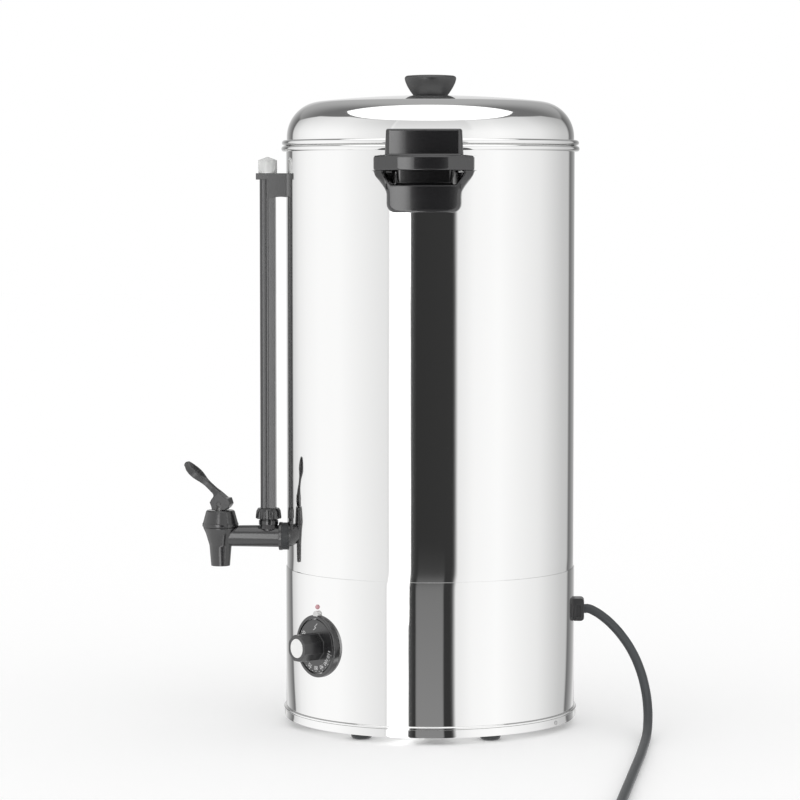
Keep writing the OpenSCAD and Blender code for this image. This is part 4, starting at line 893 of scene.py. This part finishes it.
class URN_OT_handles(bpy.types.Operator):
    """Makes the two handles, their screws and the seals under them"""
    bl_idname = "urn.handles"
    bl_label = "Handles"

    def execute(self, context):
        for node in ("handle_right", "handle_left"):
            handle = refine(node, moulding(0.17), 2 * MM, 4, work=self.bow)
            self.crease(handle)
        refine("wall_screws", plain_steel(0.62), 0.25 * MM)
        dress("wall_seals", silicone(False))
        return {"FINISHED"}

    def bow(self, shape):
        """Rounds the rim and the ledge's ends, and bows the front faces evenly."""
        handle_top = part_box("handle_right")[1].z
        low, high = handle_top - 41 * MM, handle_top - 26.4 * MM
        self.round_rim(shape, low)
        end, corner, step, near = 48 * MM, 3 * MM, 2.5 * MM, 0.1 * MM
        ends = [
            edge for edge in shape.edges
            if all(abs(vert.co.y) > end and vert.co.z > high - corner / 2 for vert in edge.verts)]
        bmesh.ops.bevel(
            shape, geom=ends, offset=corner, offset_type="OFFSET", segments=5, profile=0.5,
            affect="EDGES", material=-1)
        # Half a step aside, no cut falls on an edge that is there already.
        for i in range(-19, 19):
            bmesh.ops.bisect_plane(
                shape, geom=shape.verts[:] + shape.edges[:] + shape.faces[:],
                dist=near, plane_co=(0, step * (i + 0.5), 0), plane_no=(0, 1, 0))
        for vert in shape.verts:
            x, y, z = abs(vert.co.x), abs(vert.co.y), vert.co.z
            if x >= HANDLE_BACK:
                vert.co.x = math.copysign(x + self.moved(x, y, z, low, high, near), vert.co.x)

    def moved(self, x, y, z, low, high, near):
        """How far out a point moves, by the face that it belongs to: the web under the ledge,
        the block over it, the ledge or the body."""
        web_half, web_front, web_blend = 28.1 * MM, 160 * MM, 5 * MM
        block_half, block_front = 39.2 * MM, 173 * MM
        before_body = BODY.out - BODY.bend + 1 * MM
        if y < web_half and x < web_front and z < low + near:
            return (math.sqrt(x * x - y * y) - x) * min(1, (x - HANDLE_BACK) / web_blend)
        if z > high - near and y < block_half and x < block_front:
            return self.shift(x, y, BLOCK)
        if z > low + near or x > before_body + math.sqrt(BODY.bend ** 2 - y * y):
            return self.shift(x, min(y, LEDGE.half), LEDGE)
        return self.shift(x, y, BODY)

    def shift(self, x, y, front):
        """How far a point moves out as a front of flat strips becomes a smooth one. The back
        stays."""
        def strip(i):
            at = min(front.half, abs(front.half * (2 * i / front.strips - 1)))
            return front.out - front.bend + math.sqrt(front.bend * front.bend - at * at)

        place = (min(y, front.half - 0.001 * MM) / front.half + 1) * front.strips / 2
        first = math.floor(place)
        old = strip(first) + (strip(first + 1) - strip(first)) * (place - first)
        new = front.out - front.bow + math.sqrt(front.bow * front.bow - y * y)
        return (new - old) * min(1, (x - HANDLE_BACK) / (old - HANDLE_BACK))

    def round_rim(self, shape, top):
        """Rounds the outer rim of the body and its gussets, where a front face meets a face
        that looks aside or down."""
        radius, rim_back, rim_half = 4 * MM, 155 * MM, 46 * MM
        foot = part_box("handle_right")[0].z + 1 * MM
        rim = []
        for edge in shape.edges:
            if len(edge.link_faces) != 2 or any(v.co.z > top - 0.2 * MM for v in edge.verts):
                continue
            first, second = sorted(edge.link_faces, key=lambda face: -abs(face.normal.x))
            middle = (edge.verts[0].co + edge.verts[1].co) / 2
            side = second.normal
            outward = side.y * middle.y > 0.02 * MM or (side.z < -0.3 and middle.z < foot)
            if (abs(first.normal.x) > 0.7 and abs(side.x) < 0.3 and outward
                    and abs(middle.x) > rim_back and abs(middle.y) < rim_half):
                rim.append(edge)
        bmesh.ops.bevel(
            shape, geom=rim, offset=radius, offset_type="OFFSET", segments=4, profile=0.5,
            affect="EDGES", material=-1)

    def crease(self, handle):
        """Keeps the bends between the ledge's faces crisp."""
        ledge_back, near = 185 * MM, 0.05 * MM
        verts = handle.data.vertices
        for edge in handle.data.edges:
            ends = [verts[i].co for i in edge.vertices]
            if all(abs(abs(co.y) - LEDGE.half) < near and abs(co.x) > ledge_back for co in ends):
                edge.use_edge_sharp = True


class URN_OT_tap(bpy.types.Operator):
    """Makes the tap: its body, bonnet, lever, stem, spring and seals"""
    bl_idname = "urn.tap"
    bl_label = "Tap"

    def execute(self, context):
        refine("tap_body", moulding(0.17), 0.35 * MM)
        refine("tap_bonnet", moulding(0.2), 0.35 * MM)
        refine("tap_lever", moulding(0.16), 0.45 * MM)
        refine("tap_nut", plain_steel(0.62), 0.3 * MM)
        dress("tap_gasket", soft_rubber(0.5))
        dress("tap_seal", silicone(False))
        dress("seat_cup", silicone(True))
        dress("tap_stem", pale_moulding(0.6, 0.35))
        dress("lever_pin", moulding(0.2))
        self.add_spring()
        return {"FINISHED"}

    def add_spring(self):
        """The seat spring under the bonnet, in plain steel and with a mesh of its own."""
        low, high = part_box("tap_spring")
        joints = frame["record"]["behaviour"]["joints"]
        lift = next(joint for joint in joints if joint["name"] == "stem_lift")["range_m"][1]
        spring = refine("tap_spring", plain_steel(0.66), 0)
        1 - lift / (high.z - low.z)
        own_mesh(spring)


class URN_OT_gauge(bpy.types.Operator):
    """Makes the sight gauge: glass, guard, bracket, nut and cap"""
    bl_idname = "urn.gauge"
    bl_label = "Sight gauge"

    def execute(self, context):
        refine("gauge_guard", moulding(0.15), 0.3 * MM)
        refine("gauge_bracket", moulding(0.26), 0.4 * MM)
        refine("gauge_nut", moulding(0.22), 0.25 * MM)
        dress("gauge_tube", gauge_glass())
        dress("gauge_seal", soft_rubber(0.5))
        self.add_cap()
        return {"FINISHED"}

    def add_cap(self):
        """A nylon cap with a conical roof over a groove."""
        low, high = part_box("gauge_cap")
        radius, height = (high.x - low.x) / 2, high.z - low.z
        roof, eave, groove = height - 3.6 * MM, 0.5 * MM, 0.6 * MM
        bore, sheet = radius - 1.6 * MM, 1.4 * MM
        outline = [(0, roof - sheet), (bore, roof - sheet - 0.4 * MM), (bore, 0), (radius - 0.4 * MM, 0)]
        outline += [(radius - 0.1 * MM, height * 0.25), (radius - 0.25 * MM, roof - 2 * eave)]
        outline += [(radius - groove, roof - 1.6 * eave), (radius - groove, roof - eave)]
        outline += [(radius, roof - 0.5 * eave), (radius, roof), (radius - 0.3 * MM, roof + 0.3 * MM)]
        outline += [(1.6 * MM, height - 0.3 * MM), (0.9 * MM, height), (0, height)]
        place = Matrix.Translation(((low.x + high.x) / 2, (low.y + high.y) / 2, low.z))
        cap = lathe("gauge_cap_form", outline, cap_nylon(), 64, place=place)
        settle(cap, body_of("gauge_cap"), slot_of("gauge_cap"), "gauge_cap")


# ---- dial ----

class URN_OT_dial(bpy.types.Operator):
    """Makes the thermostat's dial with its marks, its bezel, and the pilot lamp's lens"""
    bl_idname = "urn.dial"
    bl_label = "Dial and lamp"

    def execute(self, context):
        refine("dial_bezel", moulding(0.24), 0.4 * MM)
        refine("dial_knob", moulding(0.28), 0.5 * MM)
        refine("dial_cap", pale_moulding(0.9, 0.25), 0.2 * MM)
        refine("pilot_lens", lamp_red(), 0)
        dress("pilot_lamp", pale_moulding(0.75, 0.45))
        self.add_marks(context.scene.urn_sizes.numeral)
        self.add_index()
        return {"FINISHED"}

    def dial_place(self, out):
        """The place of a mark that lies on the dial, at a distance from the urn's axis."""
        low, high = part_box("dial_cap")
        place = facing(DIAL_ANGLE, (low.z + high.z) / 2)
        return place @ Matrix.Translation((0, 0, out))

    def add_marks(self, numeral):
        """Numerals from 110 down to 30, with a tick at each and a dot between."""
        face = self.dial_place(self.disc_front() + 0.02 * MM)
        first, spacing, ring, edge = 105, 24.4, 22 * MM, 25.9 * MM
        shape = bmesh.new()
        for i, number in enumerate(range(110, 20, -10)):
            angle = math.radians(first + spacing * i)
            at = Matrix.Translation((math.sin(angle) * ring, math.cos(angle) * ring, 0))
            turn = Matrix.Rotation(-angle, 4, "Z")
            self.add_text(shape, str(number), numeral, face @ at @ turn)
            self.add_tick(shape, face, angle, edge, 1.4 * MM)
            if i:
                between = math.radians(first + spacing * (i - 0.5))
                self.add_tick(shape, face, between, edge, 0.7 * MM)
        # The zigzag that marks the stop, in millimetres from the dial's middle.
        mark = [(2.6, 23.4), (-1.4, 19.9), (0.6, 19.2), (-3.8, 16.2)]
        for start, end in zip(mark, mark[1:]):
            self.add_stroke(shape, face, Vector(start) * MM, Vector(end) * MM)
        marks = piece_from("dial_marks", shape, dial_print())
        settle(marks, "dial", "cap_white")

    def disc_front(self):
        """How far the dial's disc stands from the urn's axis."""
        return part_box("base_shell")[1].x - BASE_BEAD_OUT + DISC_OUT

    def add_text(self, shape, words, size, place):
        """A number, raised by the thickness of its ink."""
        data = bpy.data.curves.new("numeral", "FONT")
        data.body = words
        data.size = size * 1.35
        data.extrude = 0.03 * MM
        data.align_x = "CENTER"
        data.align_y = "CENTER"
        text = bpy.data.objects.new("numeral", data)
        mesh = bpy.data.meshes.new_from_object(text)
        mesh.transform(place)
        shape.from_mesh(mesh)
        bpy.data.objects.remove(text)
        bpy.data.meshes.remove(mesh)

    def add_tick(self, shape, face, angle, radius, length):
        """A short line that points to the dial's middle."""
        made = bmesh.ops.create_cube(shape, size=1)["verts"]
        size = Matrix.Diagonal((0.6 * MM, length, 0.06 * MM, 1))
        place = face @ Matrix.Rotation(-angle, 4, "Z") @ Matrix.Translation((0, radius, 0)) @ size
        bmesh.ops.transform(shape, matrix=place, verts=made)

    def add_stroke(self, shape, face, start, end):
        """A straight stroke of the mark at the dial's stop."""
        made = bmesh.ops.create_cube(shape, size=1)["verts"]
        along = end - start
        turn = Matrix.Rotation(math.atan2(along.y, along.x), 4, "Z")
        size = Matrix.Diagonal((along.length + 0.4 * MM, 0.6 * MM, 0.06 * MM, 1))
        place = face @ Matrix.Translation(((start + end) / 2).to_3d()) @ turn @ size
        bmesh.ops.transform(shape, matrix=place, verts=made)

    def add_index(self):
        """A pale pip in the bezel, over the dial."""
        over_middle, radius, depth, edge, rise = 32.4 * MM, 4 * MM, 3.6 * MM, 0.8 * MM, 0.5 * MM
        place = self.dial_place(self.disc_front() + 0.1 * MM)
        place = place @ Matrix.Translation((0, over_middle, 0))
        outline = [(0, -depth), (radius, -depth)]
        outline += arc(radius - edge, rise - edge, edge, 0, 90, 6) + [(0, rise)]
        pip = lathe("dial_index", outline, pale_moulding(0.7, 0.2), 32, place=place)
        settle(pip, "urn", "cap_white")


# ---- strain relief and what is inside ----

class URN_OT_mains(bpy.types.Operator):
    """Makes the cord's strain relief in the base"""
    bl_idname = "urn.mains"
    bl_label = "Strain relief"

    def execute(self, context):
        refine("cord_gland", moulding(0.34), 0.4 * MM)
        return {"FINISHED"}


class URN_OT_inside(bpy.types.Operator):
    """Gives the heater, the thermostat and the wiring their finishes"""
    bl_idname = "urn.inside"
    bl_label = "Heater and wiring"

    def execute(self, context):
        dress("heat_plate", metal(0.78, 0.78, 0.79, 0.35))
        dress("heating_element", metal(0.36, 0.34, 0.33, 0.4))
        dress("cutout_switch", moulding(0.4))
        dress("thermostat", pale_moulding(0.62, 0.5))
        dress("thermostat_shaft", plain_steel(0.64))
        dress("thermostat_bulb", metal(0.78, 0.42, 0.28, 0.25))
        dress("thermostat_screws", plain_steel(0.6))
        dress("terminal_block", pale_moulding(0.75, 0.4))
        dress("earth_screw", metal(0.75, 0.58, 0.28, 0.2))
        dress("wiring", silicone(False))
        return {"FINISHED"}


# ---- panel and registration ----

STEPS = (
    URN_OT_stage, URN_OT_cord, URN_OT_tank, URN_OT_base, URN_OT_lid, URN_OT_handles,
    URN_OT_tap, URN_OT_gauge, URN_OT_dial, URN_OT_mains, URN_OT_inside)


class URN_PT_panel(bpy.types.Panel):
    """Lists the urn's pieces in the sidebar"""
    bl_label = "Urn"
    bl_idname = "URN_PT_panel"
    bl_space_type = "VIEW_3D"
    bl_region_type = "UI"
    bl_category = "Urn"

    def draw(self, context):
        for group in (context.scene.urn_sizes, context.scene.urn_colours):
            for name in group.__annotations__:
                self.layout.prop(group, name)
        for step in STEPS:
            self.layout.operator(step.bl_idname)


def register():
    for made in (UrnSizes, UrnColours, *STEPS, URN_PT_panel):
        bpy.utils.register_class(made)
    bpy.types.Scene.urn_sizes = bpy.props.PointerProperty(type=UrnSizes)
    bpy.types.Scene.urn_colours = bpy.props.PointerProperty(type=UrnColours)


def unregister():
    del bpy.types.Scene.urn_sizes
    del bpy.types.Scene.urn_colours
    for made in (URN_PT_panel, *reversed(STEPS), UrnColours, UrnSizes):
        bpy.utils.unregister_class(made)


def main():
    register()
    for step in STEPS:
        group, name = step.bl_idname.split(".")
        getattr(getattr(bpy.ops, group), name)()


if __name__ == "__main__":
    main()
